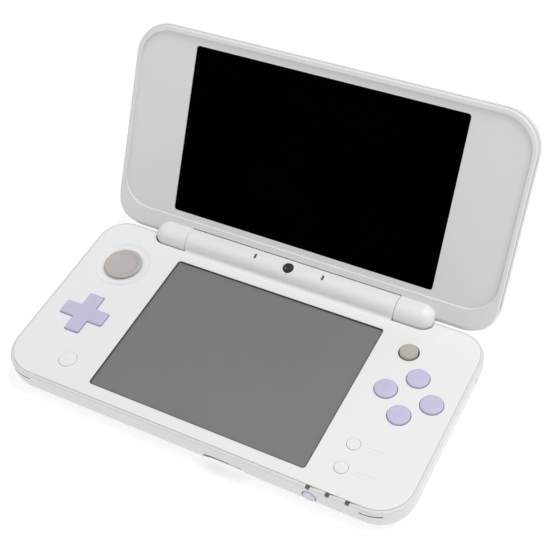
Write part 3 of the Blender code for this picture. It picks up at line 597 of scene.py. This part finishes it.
FRONT_FACING = Matrix.Rotation(math.pi / 2, 4, "X")     # local Z points at the user
BEHIND_FRONT = at(0, BASE_FRONT + 7) @ FRONT_FACING
LIGHT_X = (46.9, 53.9, 61.0)
NOTCH_HALF = 0.78
NOTCH_BOTTOM = 10.45
SLIT_NEAR = 65.2
SLIT_FAR = 73.0
SLIT_Z = 9.3
SLIT_HALF = 0.25
DOOR_GAP = 0.2
SHOULDER_SWING = 0.6          # room in front of the shoulder keys


def lower_openings(item):
    """Openings that cross the joint between the frame and the bottom cover."""
    door_low, door_high = low("card_door"), high("card_door")
    shapes = [box((door_low.x - DOOR_GAP, BASE_FRONT - 1, door_low.z - DOOR_GAP),
                  (door_high.x + DOOR_GAP, BASE_FRONT + 6, door_high.z + DOOR_GAP))]
    jack_and_stylus = shifted(centred(8.3, 2.6, 2.5), (14.8, 4.2))
    shapes.append(prism(jack_and_stylus, 0.0, 8.0, BEHIND_FRONT))
    power = middle("power_button")
    hole = high("power_button").x - power.x - POWER_FLANGE + POWER_GAP
    pocket = 3.07
    profile = [(hole + 0.3, -1.0), (hole + 0.3, -0.001), (hole + 0.1, 0.12), (hole, 0.35), (hole, 2.4),
               (pocket, 2.45), (pocket, 5.5)]
    shapes.append(turned(profile, turned_to("y", power.x, BASE_FRONT, power.z)))
    port_z = middle("charging_port").z
    shapes.append(prism(shifted(centred(4.6, 2.0, 0.8), (0, port_z)), 0.0, 6.5,
                        at(0, BASE_REAR + 1) @ FRONT_FACING))
    for side, label in ((-1, "left"), (1, "right")):
        inner = label + "_inner_shoulder_button"
        outer = label + "_shoulder_button"
        inner_x = min(abs(low(inner).x), abs(high(inner).x)) - 0.2
        near, far = sorted((side * inner_x, side * (HALF_WIDTH + 2)))
        shapes.append(box((near, low(outer).y - SHOULDER_SWING, low(outer).z - 0.25),
                          (far, BASE_REAR + 2, high(outer).z + 0.2)))
    cut(item, together(shapes))


def make_base_frame():
    edge = PLATE_INSET - SEAM
    ledge = 2.8
    bottom = FRAME_BOTTOM - FRAME_LAP
    profile = [(wall_inset(bottom) + 0.35, bottom), (wall_inset(bottom) + 0.1, bottom + 0.1)]
    profile += [(wall_inset(z), z) for z in (4.6, 4.9, 5.2, 5.5, 5.8, 6.1, 6.4, TUCK_RADIUS)]
    profile += [(0.0, FRAME_TOP - 0.62)] + arc((0.5, FRAME_TOP - 0.57), 0.5, 172, 98, 8)
    profile += [(edge - 0.06, FRAME_TOP), (edge, FRAME_TOP - 0.06), (edge, LEDGE_TOP), (ledge, LEDGE_TOP),
                (ledge, 9.1), (2.4, 8.4), (2.4, bottom)]
    item = mesh_object("side_frame", add_rings(bmesh.new(), [case_ring(a, z) for a, z in profile], loop=True))
    cut(item, barrel(BARREL_RADIUS + BARREL_GAP, -KNUCKLE_INNER - 1, KNUCKLE_INNER + 1))
    for side in (-1, 1):
        cut(item, knuckle(side, KNUCKLE_GAP))
        near, far = sorted((side * SLIT_NEAR, side * SLIT_FAR))
        cut(item, box((near, BASE_FRONT - 1, SLIT_Z - SLIT_HALF), (far, BASE_FRONT + 5, SLIT_Z + SLIT_HALF)))
    front = at(0, BASE_FRONT + 3.5) @ FRONT_FACING
    for x in LIGHT_X:
        notch = [(x + a, NOTCH_BOTTOM + 0.45 + 0.6 * b) for a, b in arc((0, 0), NOTCH_HALF, 180, 360, 16)]
        notch += [(x + NOTCH_HALF, 13.0), (x - NOTCH_HALF, 13.0)]
        cut(item, prism(notch, 0.0, 5.0, front))
        channel = NOTCH_HALF - 0.02
        cut(item, box((x - channel, BASE_FRONT + 0.9, 9.8), (x + channel, BASE_FRONT + 3.5, 13.0)))
        near, far = x + NOTCH_HALF - 0.1, x + 4.0
        wedge = [(near, BASE_FRONT + 0.8), (far, BASE_FRONT + edge - 0.02), (far, BASE_FRONT + 2.0),
                 (near, BASE_FRONT + 2.0)]
        cut(item, prism(wedge, 10.9, 13.0))
    slider = middle("volume_slider")
    cut(item, box((-HALF_WIDTH - 1, slider.y - 10, slider.z - 1),
                  (-HALF_WIDTH + 4, slider.y + 10, slider.z + 1)))
    lower_openings(item)
    finished(item, WALL_PAINTED_SHADE, "base", "base_frame")

    def shaded_slit_faces(centre):
        """Faces a little way into the speaker slits, which are painted dark as shade."""
        corner = max(abs(centre.x) - (HALF_WIDTH - FRONT_RADIUS), 0.0)
        skin = BASE_FRONT + FRONT_RADIUS - math.sqrt(max(FRONT_RADIUS ** 2 - corner ** 2, 0.0)) + 0.12
        return (SLIT_NEAR - 0.01 < abs(centre.x) < SLIT_FAR + 0.01 and skin < centre.y < BASE_FRONT + 5
                and abs(centre.z - SLIT_Z) < SLIT_HALF + 0.01)

    # The frame's own faces inside the speaker slits are painted dark: painted shade in the openings.
    paint(item, DARK, shaded_slit_faces)


def make_light_guide():
    lo, hi = low("status_light_guide"), high("status_light_guide")
    back = hi.y
    item = mesh_object("status_lights", box((lo.x, back - 0.8, 9.5), (hi.x, back, 10.0)))
    riser_back = BASE_FRONT + PLATE_INSET - 0.12
    half = NOTCH_HALF - 0.1
    for x in LIGHT_X:
        join(item, box((x - 0.55, riser_back - 0.35, 9.9), (x + 0.55, back - 0.4, 10.15)))
        join(item, box((x - 0.5, riser_back - 0.3, 9.95), (x + 0.5, riser_back, 11.0)))
        join(item, box((x - half, BASE_FRONT + 0.25, NOTCH_BOTTOM + 0.2),
                       (x + half, riser_back - 0.05, 11.4), 0.1))
    finished(item, GUIDE, "base", "status_light_guide")


SCREW_NAMES = ("cover_screw_left", "cover_screw_right")
OUTER_LENS_X = (-17.0, 17.0)


def make_bottom_cover():
    top = COVER_TOP + FRAME_LAP
    heights = [0.12, 0.3, 0.55, 0.9, 1.35, 1.9, 2.4, 3.0, 3.5, top - 0.25]
    rows = [(wall_inset(0.0) + 0.15, 0.0)] + [(wall_inset(z), z) for z in heights]
    rows += [(wall_inset(top) + 0.05, top - 0.1), (wall_inset(top) + 0.3, top), (wall_inset(top) + 1.8, top),
             (4.2, 2.6), (6.2, FLOOR_TOP)]
    item = mesh_object("underside_cover", add_rings(bmesh.new(), [case_ring(a, z) for a, z in rows]))
    for name in SCREW_NAMES:
        profile = [(2.9, -1), (2.9, 0.0), (2.55, 0.1), (2.35, 0.3), (2.3, 0.9), (1.1, 1.2), (1.1, 3)]
        cut(item, turned(profile, at(*centre_of(name))))
    window = centre_of("outer_camera_window")
    outline = shifted(centred(21, 3.7, 3.6), window)
    flare = shifted(centred(21.25, 3.95, 3.85), window)
    cut(item, add_rings(bmesh.new(), [(flare, -1), (flare, 0.0), (outline, 0.25), (outline, 0.8)]))
    for x in OUTER_LENS_X:
        cut(item, prism(circle(2.6, (x, window[1]), 48), 0.5, 3))
    outer = shifted(centred(26, 8, 2.0), (0, -8))
    inner = shifted(centred(25.4, 7.4, 1.4), (0, -8))
    cut(item, add_rings(bmesh.new(), [(outer, -1), (outer, 0.2), (inner, 0.2), (inner, -1)], loop=True))
    lower_openings(item)
    finished(item, WALL_PAINTED_SHADE, "base", "bottom_cover")


# ---- lid shells

def smoothed(rows, steps=4):
    """Catmull-Rom through rows of numbers."""
    result = []
    for index in range(len(rows) - 1):
        before = rows[max(index - 1, 0)]
        start, stop = rows[index], rows[index + 1]
        after = rows[min(index + 2, len(rows) - 1)]
        for step in range(steps):
            t = step / steps
            result.append(tuple(0.5 * (2 * b + (c - a) * t + (2 * a - 5 * b + 4 * c - d) * t * t
                                       + (3 * b - a - 3 * c + d) * t ** 3)
                                for a, b, c, d in zip(before, start, stop, after)))
    result.append(rows[-1])
    return result


def lid_ring(inset, bottom, height, top=None, low_radius=LID_LOW_RADIUS, high_radius=LID_HIGH_RADIUS):
    """Outline of the lid, moved in by inset at its sides and top; bottom is a Y value."""
    top = inset if top is None else top
    outline = rounded_outline(-LID_HALF + inset, LID_HALF - inset, bottom, LID_TOP - top,
                              low_radius - inset, high_radius - inset)
    return outline, height


def cut_for_barrel(item):
    """Room in a lid piece for the base's barrel."""
    half = KNUCKLE_INNER - 0.02
    cut(item, barrel(BARREL_RADIUS + BARREL_GAP, -half, half, LID_PLACE))


def upper_opening(grow):
    """Outline of the upper screen's opening, in the lid's frame, moved out by grow."""
    return shifted(centred(UPPER_WIDTH / 2 + grow, UPPER_HEIGHT / 2 + grow, SCREEN_CORNER + grow),
                   (0, UPPER_CENTRE))


def make_lid_front():
    rim = [(2.56, 7.96, PANEL_Z, 2.76), (2.5, 7.9, PANEL_Z + 0.12, 2.7), (2.48, 7.88, CREST_Z - 0.16, 2.68)]
    rim += [(2.36 + a, 7.76 + a, CREST_Z - 0.12 + b, 2.56 + a) for a, b in arc((0, 0), 0.12, 10, 90, 4)]
    shoulder = [(1.4, 1.7, CREST_Z), (1.16, 1.3, CREST_Z - 0.05), (0.98, 1.0, CREST_Z - 0.2),
                (0.86, 0.75, CREST_Z - 0.42), (0.8, 0.55, CREST_Z - 0.7), (0.8, 0.5, LIP_Z - 0.3)]
    rings = [lid_ring(*row, LID_LOW_RADIUS + 1.5) for row in rim]
    rings += [lid_ring(*row, low_radius=10.0) for row in smoothed(shoulder)]
    inner = (0.9, 0.9, LID_SEAM_Z), (2.8, 2.6, LID_SEAM_Z), (3.4, 8.2, PANEL_Z - 1.5)
    rings += [lid_ring(*row) for row in inner]
    item = mesh_object("lid_front_moulding", add_rings(bmesh.new(), rings, LID_PLACE))
    for side in (-1, 1):
        join(item, knuckle(side, 0.0, LID_PLACE))
    cut_for_barrel(item)
    edge = 0.2
    opening = [(0.0, PANEL_Z - 3), (0.0, PANEL_Z - edge), (0.06, PANEL_Z - 0.06), (edge, PANEL_Z + 0.001),
               (edge, PANEL_Z + 2)]
    cut(item, add_rings(bmesh.new(), [(upper_opening(grow), z) for grow, z in opening], LID_PLACE))
    bore_end = 53.0
    for side, radius in ((1, 2.15), (-1, 2.9)):
        cut(item, barrel(radius, side * (KNUCKLE_INNER - 2), side * bore_end, LID_PLACE))
    finished(item, PANEL_PAINTED_SHADE, "lid", "lid_front_frame")
    to_lid = (Matrix.Translation(HINGE) @ LID_SLOPE).inverted()

    def on_rim(centre):
        """Raised above the recessed panel, or beyond its edge."""
        place = to_lid @ centre
        within = abs(place.x) <= LID_HALF - 2.45 and 7.95 < place.y < LID_TOP - 2.65
        return place.z > PANEL_Z + 0.05 or not within

    def on_knuckle(centre):
        place = to_lid @ centre
        return (math.hypot(place.y, place.z) < BARREL_RADIUS + 0.3
                and KNUCKLE_INNER - 1 < abs(place.x) < KNUCKLE_OUTER + 2)

    # The rim is painted a lighter white than the recessed panel: painted light.
    paint(item, RIM_PAINTED_LIGHT, on_rim)
    paint(item, SHELL, on_knuckle)


def make_lid_back():
    ledge = LID_SEAM_Z - 0.12
    shell = [(0.4, 0.0, LIP_Z - 0.03), (0.18, -0.25, LIP_Z - 0.2), (0.05, -0.4, -2.0), (0.0, -0.6, -2.5),
             (0.1, -0.8, -3.3), (0.4, LID_BOTTOM, -4.4), (0.85, -0.8, -5.4), (1.5, -0.3, -6.4),
             (2.5, 0.6, -7.4), (4.0, 2.1, -8.3), (6.0, 4.1, -8.8), (8.5, 6.6, LID_BACK_Z)]
    rows = [(5.4, 6.0, LID_BACK_Z + 1.5), (3.6, 3.6, -6.2), (2.4, 2.4, ledge), (0.84, 0.84, ledge),
            (0.76, 0.76, LIP_Z - 0.12), (0.66, 0.64, LIP_Z)] + smoothed(shell)
    rings = []
    for inset, bottom, z in rows:
        # Below the lip the top edge sits a little lower, and the widest rows have fuller top corners
        below = z < LIP_Z - 0.05
        top = inset + 0.25 if below else inset
        high_radius = LID_HIGH_RADIUS - 1.2 if below and inset < 0.5 else LID_HIGH_RADIUS
        rings.append(lid_ring(inset, bottom, z, top, high_radius=high_radius))
    item = mesh_object("lid_outer_shell", add_rings(bmesh.new(), rings, LID_PLACE))
    cut_for_barrel(item)
    for side in (-1, 1):
        cut(item, knuckle(side, 0.2, LID_PLACE))
    finished(item, BACK_PAINTED_SHADE, "lid", "lid_back_cover")


def make_upper_window():
    gap = 0.06
    rings = []
    for inset, depth in ((0.0, 1.2), (0.0, 0.3), (0.05, 0.2), (0.2, 0.15)):
        outline = centred(UPPER_WIDTH / 2 - gap - inset, UPPER_HEIGHT / 2 - gap - inset, SCREEN_CORNER - 0.1)
        rings.append((shifted(outline, (0, UPPER_CENTRE)), PANEL_Z - depth))
    item = mesh_object("upper_screen_glass", add_rings(bmesh.new(), rings, LID_PLACE))
    finished(item, GLASS_BLACK, "lid", "upper_window")


# ---- controls

def paint(item, material, wanted):
    """Give one more material to the faces that wanted(centre), in millimetres, picks."""
    item.data.materials.append(material)
    last = len(item.data.materials) - 1
    for face in item.data.polygons:
        if wanted(face.center / MM):
            face.material_index = last


def dome(radius, top, crown):
    """(radius, height) points from a rim inward over a slightly domed top."""
    steps = 6
    return [(radius * (1 - step / steps) + 0.02, top + crown * (1 - (1 - step / steps) ** 2))
            for step in range(1, steps + 1)]


def push_key(name, piece, material, radius, top, edge, crown, marks=()):
    """Round key with a retaining flange, rounded rim and raised marks (x, y, length, width)."""
    x, y = centre_of(name)
    bottom = low(name).z
    flange = (high(name).x - low(name).x) / 2
    profile = [(flange, bottom), (flange, bottom + 0.5), (flange - 0.1, bottom + 0.6), (radius, bottom + 0.6)]
    profile += arc((radius - edge, top - edge), edge, 0, 85, 8) + dome(radius - edge, top, crown)
    item = mesh_object(piece, turned(profile, at(x, y)))
    bevel = 0.08
    for mark_x, mark_y, length, width in marks:
        outline = centred(length / 2, width / 2, width / 2 - 0.01, 6)
        inner = centred(length / 2 - bevel, width / 2 - bevel, width / 2 - bevel - 0.01, 6)
        rings = [(outline, top - 0.3), (outline, top + crown + 0.02), (inner, top + crown + 0.1)]
        join(item, add_rings(bmesh.new(), rings, at(x + mark_x, y + mark_y)))
    finished(item, material, name, name)


def make_face_keys():
    dots = {
        "face_button_north": ((0.0, 0.0),),
        "face_button_east": ((-0.7, 0.0), (0.7, 0.0)),
        "face_button_south": ((-0.8, -0.5), (0.8, -0.5), (0.0, 0.8)),
        "face_button_west": ((-0.7, -0.7), (0.7, -0.7), (-0.7, 0.7), (0.7, 0.7)),
    }
    for name in FACE_NAMES:
        push_key(name, name.replace("face_button", "face_key"), LAVENDER, FACE_RADIUS,
                 high(name).z - 0.08, 0.55, 0.12, [(x, y, 0.75, 0.7) for x, y in dots[name]])


def make_small_keys():
    for name in DASH_LENGTHS:
        push_key(name, name.replace("button", "key"), SHELL, SMALL_KEY_RADIUS,
                 high(name).z + 0.04, 0.38, 0.05)
    push_key("home_button", "home_key", SHELL, HOME_KEY_RADIUS, high("home_button").z, 0.34,
             0.05, [(0.0, 0.0, 1.5, 1.4)])


def make_cross_key():
    centre = at(*CROSS_CENTRE)
    top = high("cross_key").z
    item = mesh_object("cross_pad", turned([(10.4, 8.7), (10.4, 9.2), (10.3, 9.3), (4.0, 9.3)], centre))
    edge = 0.5
    rings = [(cross_outline(CROSS_SPAN, CROSS_ARM), z) for z in (9.1, top - edge)]
    for inset, rise in arc((edge, 0), edge, 165, 90, 5):
        outline = cross_outline(CROSS_SPAN - 2 * inset, CROSS_ARM - 2 * inset, CROSS_CORNER - inset * 0.5)
        rings.append((outline, top - edge + rise))
    join(item, add_rings(bmesh.new(), rings, centre))
    dimple = [(0.02, top - 0.16), (0.8, top - 0.14), (1.5, top - 0.08), (2.1, top + 0.02), (2.1, top + 1)]
    cut(item, turned(dimple, centre))
    for turn in range(4):
        place = centre @ Matrix.Rotation(turn * math.pi / 2, 4, "Z")
        wide = rounded_outline(4.3, 7.6, -0.42, 0.42, 0.4, steps=6)
        narrow = rounded_outline(4.5, 7.4, -0.2, 0.2, 0.19, steps=6)
        cut(item, add_rings(bmesh.new(), [(narrow, top - 0.12), (wide, top + 0.01), (wide, top + 1)], place))
    finished(item, LAVENDER, "cross_key", "cross_key")


def make_slide_pad():
    x, y = PAD_CENTRE
    bottom = low("slide_pad").z
    top = high("slide_pad").z
    outer = high("slide_pad").x - x
    profile = [(outer, bottom), (outer, bottom + 0.35), (outer - 0.1, bottom + 0.45), (2.9, bottom + 0.45),
               (2.8, bottom + 0.6), (2.8, 11.7), (6.6, 11.72), (7.1, 11.78)]
    dished = [(7.1, 11.78), (7.32, 11.95), (7.4, 12.3), (7.34, 12.6), (7.1, top - 0.12), (6.75, top),
              (6.3, top - 0.08), (5.6, top - 0.42), (5.0, top - 0.72), (4.2, top - 0.86), (2.5, top - 0.92),
              (0.03, top - 0.94)]
    item = mesh_object("slide_pad_cap", turned(profile + smoothed(dished, 5)[1:], at(x, y), steps=96))
    finished(item, PAD, "slide_pad", "slide_pad")


def make_nub():
    x, y = NUB_CENTRE
    bottom = low("nub_stick").z
    top = high("nub_stick").z
    radius = high("nub_stick").x - x
    profile = [(2.2, bottom), (2.2, bottom + 1.4), (2.5, bottom + 1.7), (radius, bottom + 1.9)]
    edge = 0.6
    crown = 0.1
    profile += arc((radius - edge, top - crown - edge), edge, 0, 85, 8)
    profile += dome(radius - edge, top - crown, crown)
    item = mesh_object("nub_cap", turned(profile, at(x, y)))
    finished(item, NUB, "nub_stick", "nub_stick")


def make_power_button():
    centre = middle("power_button")
    front = low("power_button").y
    depth = high("power_button").y - front
    profile = [(0.05, 0.22), (1.2, 0.18), (1.75, 0.04), (2.0, 0.0), (2.25, 0.08), (2.38, 0.3),
               (2.38, depth - 0.6), (2.85, depth - 0.5), (2.9, depth - 0.4), (2.9, depth)]
    item = mesh_object("power_key", turned(profile, turned_to("y", centre.x, front, centre.z)))
    finished(item, LAVENDER, "power_button", "power_button")
    paint(item, PALE, lambda place: math.hypot(place.x - centre.x, place.z - centre.z) < 1.7)
    return item


# ---- screens and barrel details

def make_touch_window():
    lo, hi = low("touch_window"), high("touch_window")
    half_width = LOWER_WIDTH / 2 - 0.03
    half_depth = LOWER_DEPTH / 2 - 0.03
    strip = 0.2                   # width of the dark strip round the screen: a gasket, which also runs up the plate's wall as painted shade
    edge = PLATE_TOP - 0.22
    base = rounded_outline(lo.x, hi.x, lo.y, hi.y, 0.8)
    rings = [(base, lo.z), (base, hi.z)]
    for inset, z in ((0.0, hi.z), (0.0, edge - 0.05), (0.05, edge), (strip, edge), (strip, hi.z + 0.02),
                     (strip + 0.4, hi.z)):
        rings.append((centred(half_width - inset, half_depth - inset, SCREEN_CORNER - inset), z))
    item = mesh_object("touch_screen", add_rings(bmesh.new(), rings))
    finished(item, TOUCH, "base", "touch_window")
    # The dark strip stands for a thin gasket and, up the plate's opening wall, for painted shade in the
    # recess.
    paint(item, GASKET_AND_SHADE, lambda centre: abs(centre.x) > half_width - strip - 0.1
          or abs(centre.y) > half_depth - strip - 0.1)


def make_camera_parts():
    profile = [(1.5, 1.9), (1.5, 3.5), (2.0, 3.7), (2.0, 4.75), (1.95, 4.85), (1.72, 4.9), (1.6, 4.82),
               (1.5, 4.62), (0.9, 4.5), (0.75, 4.42), (0.7, 4.3), (0.4, 4.38), (0.03, 4.42)]
    item = mesh_object("inner_camera_lens", turned(profile, camera_place(0, CAMERA_LEAN)))
    finished(item, LENS, "base", "inner_camera_window")
    for name, material in (("camera_light", GUIDE), ("microphone", DARK)):
        place = camera_place(middle(name).x, LIGHT_LEAN)
        item = mesh_object(name + "_insert", box((-1.4, -1.6, 0.5), (1.4, 1.6, 3.0), 0.2, place))
        tip = 4.85 if name == "camera_light" else 4.3
        join(item, prism(centred(0.4, 1.0, 0.39, 6), 2.5, tip, place))
        finished(item, material, "base", name)


# ---- front, rear and underside pieces

def wall_band(thickness, low_z, high_z, edge):
    """A belt of the case's wall between two heights, with eased outer edges."""
    steps = 12
    heights = [low_z + edge + (high_z - low_z - 2 * edge) * step / steps for step in range(steps + 1)]
    rows = [(wall_inset(low_z) + thickness, low_z), (wall_inset(low_z) + edge, low_z)]
    rows += [(wall_inset(z), z) for z in heights]
    rows += [(wall_inset(high_z) + edge, high_z), (wall_inset(high_z) + thickness, high_z)]
    rows += [(wall_inset(z) + thickness, z) for z in reversed(heights)]
    return add_rings(bmesh.new(), [case_ring(inset, z) for inset, z in rows], loop=True)


def make_card_door():
    lo, hi = low("card_door"), high("card_door")
    item = mesh_object("card_slot_door", wall_band(1.2, lo.z, hi.z, 0.2))
    keep(item, box((lo.x, BASE_FRONT - 2, lo.z - 1), (hi.x, BASE_FRONT + 8, hi.z + 1)))
    nail_slot = shifted(centred(2.2, 0.45, 0.44, 8), (middle("card_door").x, hi.z - 0.55))
    cut(item, prism(nail_slot, 6.6, 9.0, BEHIND_FRONT))
    finished(item, WALL_PAINTED_SHADE, "card_door", "card_door")


def grip_groove(z):
    """Ring round the case that cuts a shallow V into its wall at a height."""
    wall = wall_inset(z)
    half = 0.26
    skin = wall - 0.03
    outside = wall - 0.63
    rows = [(skin, z - half), (wall + 0.14, z), (skin, z + half), (outside, z + half + 0.01),
            (outside, z - half - 0.01)]
    return add_rings(bmesh.new(), [case_ring(inset, height) for inset, height in rows], loop=True)


def make_shoulder_keys():
    for side, label in ((-1, "left"), (1, "right")):
        for kind in ("shoulder", "inner_shoulder"):
            name = label + "_" + kind + "_button"
            lo, hi = low(name), high(name)
            outer = kind == "shoulder"
            item = mesh_object(label + "_" + kind + "_key", wall_band(2.2, lo.z, hi.z, 0.35))
            near, far = lo.x, hi.x
            if outer:
                near, far = sorted((side * min(abs(lo.x), abs(hi.x)), side * (HALF_WIDTH + 1)))
            keep(item, box((near, lo.y, lo.z - 1), (far, BASE_REAR + 2, hi.z + 1)))
            if outer:
                cut(item, together([grip_groove(z) for z in (lo.z + 1.6, hi.z - 1.6)]))
            finished(item, WALL_PAINTED_SHADE, name, name)


def make_stylus():
    centre = middle("stylus")
    front = low("stylus").y
    length = high("stylus").y - front
    place = at(centre.x, front, centre.z) @ Matrix.Rotation(-math.pi / 2, 4, "X")
    rows = [(0.9, 0.0), (0.45, 0.1), (0.2, 0.35), (0.1, 0.8), (0.1, length - 12), (0.2, length - 11.6),
            (0.22, length - 11.4), (0.12, length - 11.0), (0.5, length - 6), (1.0, length - 2),
            (1.25, length - 0.8), (1.5, length - 0.2), (1.7, length)]
    rings = [(centred(2.9 - inset, 1.9 - inset, max(1.6 - inset, 0.15), 8), z) for inset, z in rows]
    item = mesh_object("stylus_body", add_rings(bmesh.new(), rings, place))
    finished(item, WALL_PAINTED_SHADE, "stylus", "stylus")


def make_volume_slider():
    lo, hi = low("volume_slider"), high("volume_slider")
    y, z = middle("volume_slider").yz
    item = mesh_object("volume_thumb", box((lo.x, y - 2.2, z - 0.7), (lo.x + 2.8, y + 2.2, z + 0.7), 0.3))
    join(item, box((hi.x - 0.7, lo.y, lo.z), (hi.x, hi.y, hi.z), 0.2))
    for groove_y in (y - 1.2, y, y + 1.2):
        cut(item, box((lo.x - 1, groove_y - 0.2, z - 2), (lo.x + 0.2, groove_y + 0.2, z + 2)))
    finished(item, WALL_PAINTED_SHADE, "volume_slider", "volume_slider")


def make_audio_jack():
    centre = middle("audio_jack")
    front = low("audio_jack").y
    profile = [(1.75, 0.3), (1.95, 0.05), (2.1, 0.0), (2.3, 0.1), (2.3, 12.0), (0.9, 12.0), (0.9, 11.0),
               (1.75, 11.0)]
    item = mesh_object("audio_socket", turned(profile, turned_to("y", centre.x, front, centre.z), loop=True))
    finished(item, DARK, "base", "audio_jack")


def make_charging_port():
    lo, hi = low("charging_port"), high("charging_port")
    centre = middle("charging_port")
    place = at(centre.x, hi.y, centre.z) @ FRONT_FACING
    depth = hi.y - lo.y

    def shell(inset):
        return centred((hi.x - lo.x) / 2 - inset, (hi.z - lo.z) / 2 - inset, max(0.9 - inset, 0.2), 6)

    item = mesh_object("charging_socket", prism(shell(0.0), 0.0, depth, place))
    hollow = [(shell(0.25), -1.0), (shell(0.25), 0.0), (shell(0.5), 0.3), (shell(0.5), depth - 1.5)]
    cut(item, add_rings(bmesh.new(), hollow, place))
    join(item, box((-2.4, hi.y - 4.0, centre.z - 0.35), (2.4, hi.y - 0.6, centre.z + 0.35)))
    join(item, box((-2.4, hi.y - 4.4, centre.z - 1.6), (2.4, hi.y - 3.4, centre.z + 1.6)))
    finished(item, STEEL, "base", "charging_port")


def make_screws():
    for name in SCREW_NAMES:
        centre = at(*centre_of(name))
        lo = low(name).z
        profile = [(0.03, lo + 0.05), (1.2, lo + 0.02), (1.8, lo + 0.06), (2.0, lo + 0.2), (2.0, lo + 0.45),
                   (0.8, lo + 0.8), (0.8, high(name).z)]
        item = mesh_object(name.replace("cover_", "") + "_head", turned(profile, centre))
        slot = [(centred(1.3, 0.32, 0.1, 4), lo - 0.3), (centred(0.9, 0.2, 0.1, 4), lo + 0.5)]
        for angle in (0, 90):
            cut(item, add_rings(bmesh.new(), slot, centre @ Matrix.Rotation(math.radians(angle), 4, "Z")))
        finished(item, SCREW, "base", name)


def make_outer_cameras():
    y = middle("outer_camera_window").y
    bottom = low("outer_camera_window").z
    rows = [(0.25, bottom), (0.05, bottom + 0.1), (0.0, bottom + 0.25), (0.0, bottom + 0.4)]
    rings = [(centred(20.8 - inset, 3.5 - inset, 3.4 - inset), z) for inset, z in rows]
    item = mesh_object("outer_camera_panel", add_rings(bmesh.new(), rings, at(0, y)))
    dish = [(2.0, -1.0), (2.0, bottom), (1.7, bottom + 0.18), (1.2, bottom + 0.22), (0.9, bottom + 0.4),
            (0.5, bottom + 0.33), (0.03, bottom + 0.3)]
    for x in OUTER_LENS_X:
        join(item, prism(circle(2.2, (x, y)), bottom + 0.3, 2.6))
        cut(item, turned(dish, at(x, y)))
    finished(item, LENS, "base", "outer_camera_window")


# ---- pieces kept from the CAD

INSIDE = {
    "lower_lcd": FOIL, "upper_lcd": FOIL, "lcd_bracket": STEEL, "main_board": BOARD, "battery": BATTERY,
    "left_speaker": DARK, "right_speaker": DARK, "card_slot": STEEL, "memory_card_slot": STEEL,
    "inner_camera": DARK, "hinge_clutch": STEEL, "hinge_bearing": DARK, "display_cable": COPPER,
    "slide_pad_housing": DARK, "slide_pad_carriage": RUBBER, "left_key_membrane": RUBBER,
    "right_key_membrane": RUBBER, "nub_sensor": DARK, "nub_gimbal": STEEL, "cross_key_pivot": STEEL,
    "lid_magnet": STEEL, "hinge_shaft": STEEL, "hinge_sleeve": STEEL,
}


def dress_inside():
    for name, material in INSIDE.items():
        node = frame["nodes"][name]
        node.data.materials.clear()
        node.data.materials.append(material)


# ---- camera, light and floor

def make_floor():
    half = 3.0
    drop = -0.0002                # metres, just below the underside
    corners = [(x * half, y * half, drop) for x, y in ((-1, -1), (1, -1), (1, 1), (-1, 1))]
    data = bpy.data.meshes.new("floor")
    data.from_pydata(corners, [], [(0, 1, 2, 3)])
    floor = bpy.data.objects.new("floor", data)
    bpy.context.scene.collection.objects.link(floor)
    material, tree = new_material("floor_white")
    shader = tree.nodes["Principled BSDF"]
    shader.inputs["Base Color"].default_value = (0.9, 0.9, 0.9, 1.0)
    shader.inputs["Roughness"].default_value = 0.9
    shader.inputs["Specular IOR Level"].default_value = 0.0
    shader.inputs["Emission Color"].default_value = (1.0, 1.0, 1.0, 1.0)
    shader.inputs["Emission Strength"].default_value = 0.38
    data.materials.append(material)


def make_light(name, place, size, power):
    """Square area light, places and size in metres, aimed at the middle of the console."""
    light = bpy.data.lights.new(name, "AREA")
    light.shape = "SQUARE"
    light.size = size
    light.energy = power
    item = bpy.data.objects.new(name, light)
    item.location = place
    item.rotation_euler = (Vector((0.0, 0.0, 0.02)) - Vector(place)).to_track_quat("-Z", "Y").to_euler()
    bpy.context.scene.collection.objects.link(item)


def make_world():
    world = bpy.data.worlds.new("studio")
    world.use_nodes = True
    background = world.node_tree.nodes["Background"]
    background.inputs["Color"].default_value = (1.0, 1.0, 1.0, 1.0)
    background.inputs["Strength"].default_value = 0.52
    bpy.context.scene.world = world


def make_camera():
    camera_data = bpy.data.cameras.new("camera")
    camera_data.lens = 77.03
    camera_data.sensor_width = 36.0
    camera_data.shift_x = 0.0753
    camera_data.shift_y = -0.0114
    camera = bpy.data.objects.new("camera", camera_data)
    camera.location = (0.1552, -0.2140, 0.3405)
    camera.rotation_euler = [math.radians(angle) for angle in (42.668, 5.988, 28.691)]
    bpy.context.scene.collection.objects.link(camera)
    bpy.context.scene.camera = camera


make_face_plate()
make_base_frame()
make_light_guide()
make_bottom_cover()
make_lid_front()
make_lid_back()
make_upper_window()
make_face_keys()
make_small_keys()
make_cross_key()
make_slide_pad()
make_nub()
make_power_button()
make_touch_window()
make_camera_parts()
make_card_door()
make_shoulder_keys()
make_stylus()
make_volume_slider()
make_audio_jack()
make_charging_port()
make_screws()
make_outer_cameras()
dress_inside()
make_floor()
make_world()
make_light("key", (0.38, 0.27, 0.95), 0.6, 5.9)
make_light("fill", (-0.6, -0.4, 0.9), 0.9, 1.15)
make_camera()
bpy.context.scene.view_settings.view_transform = "Standard"
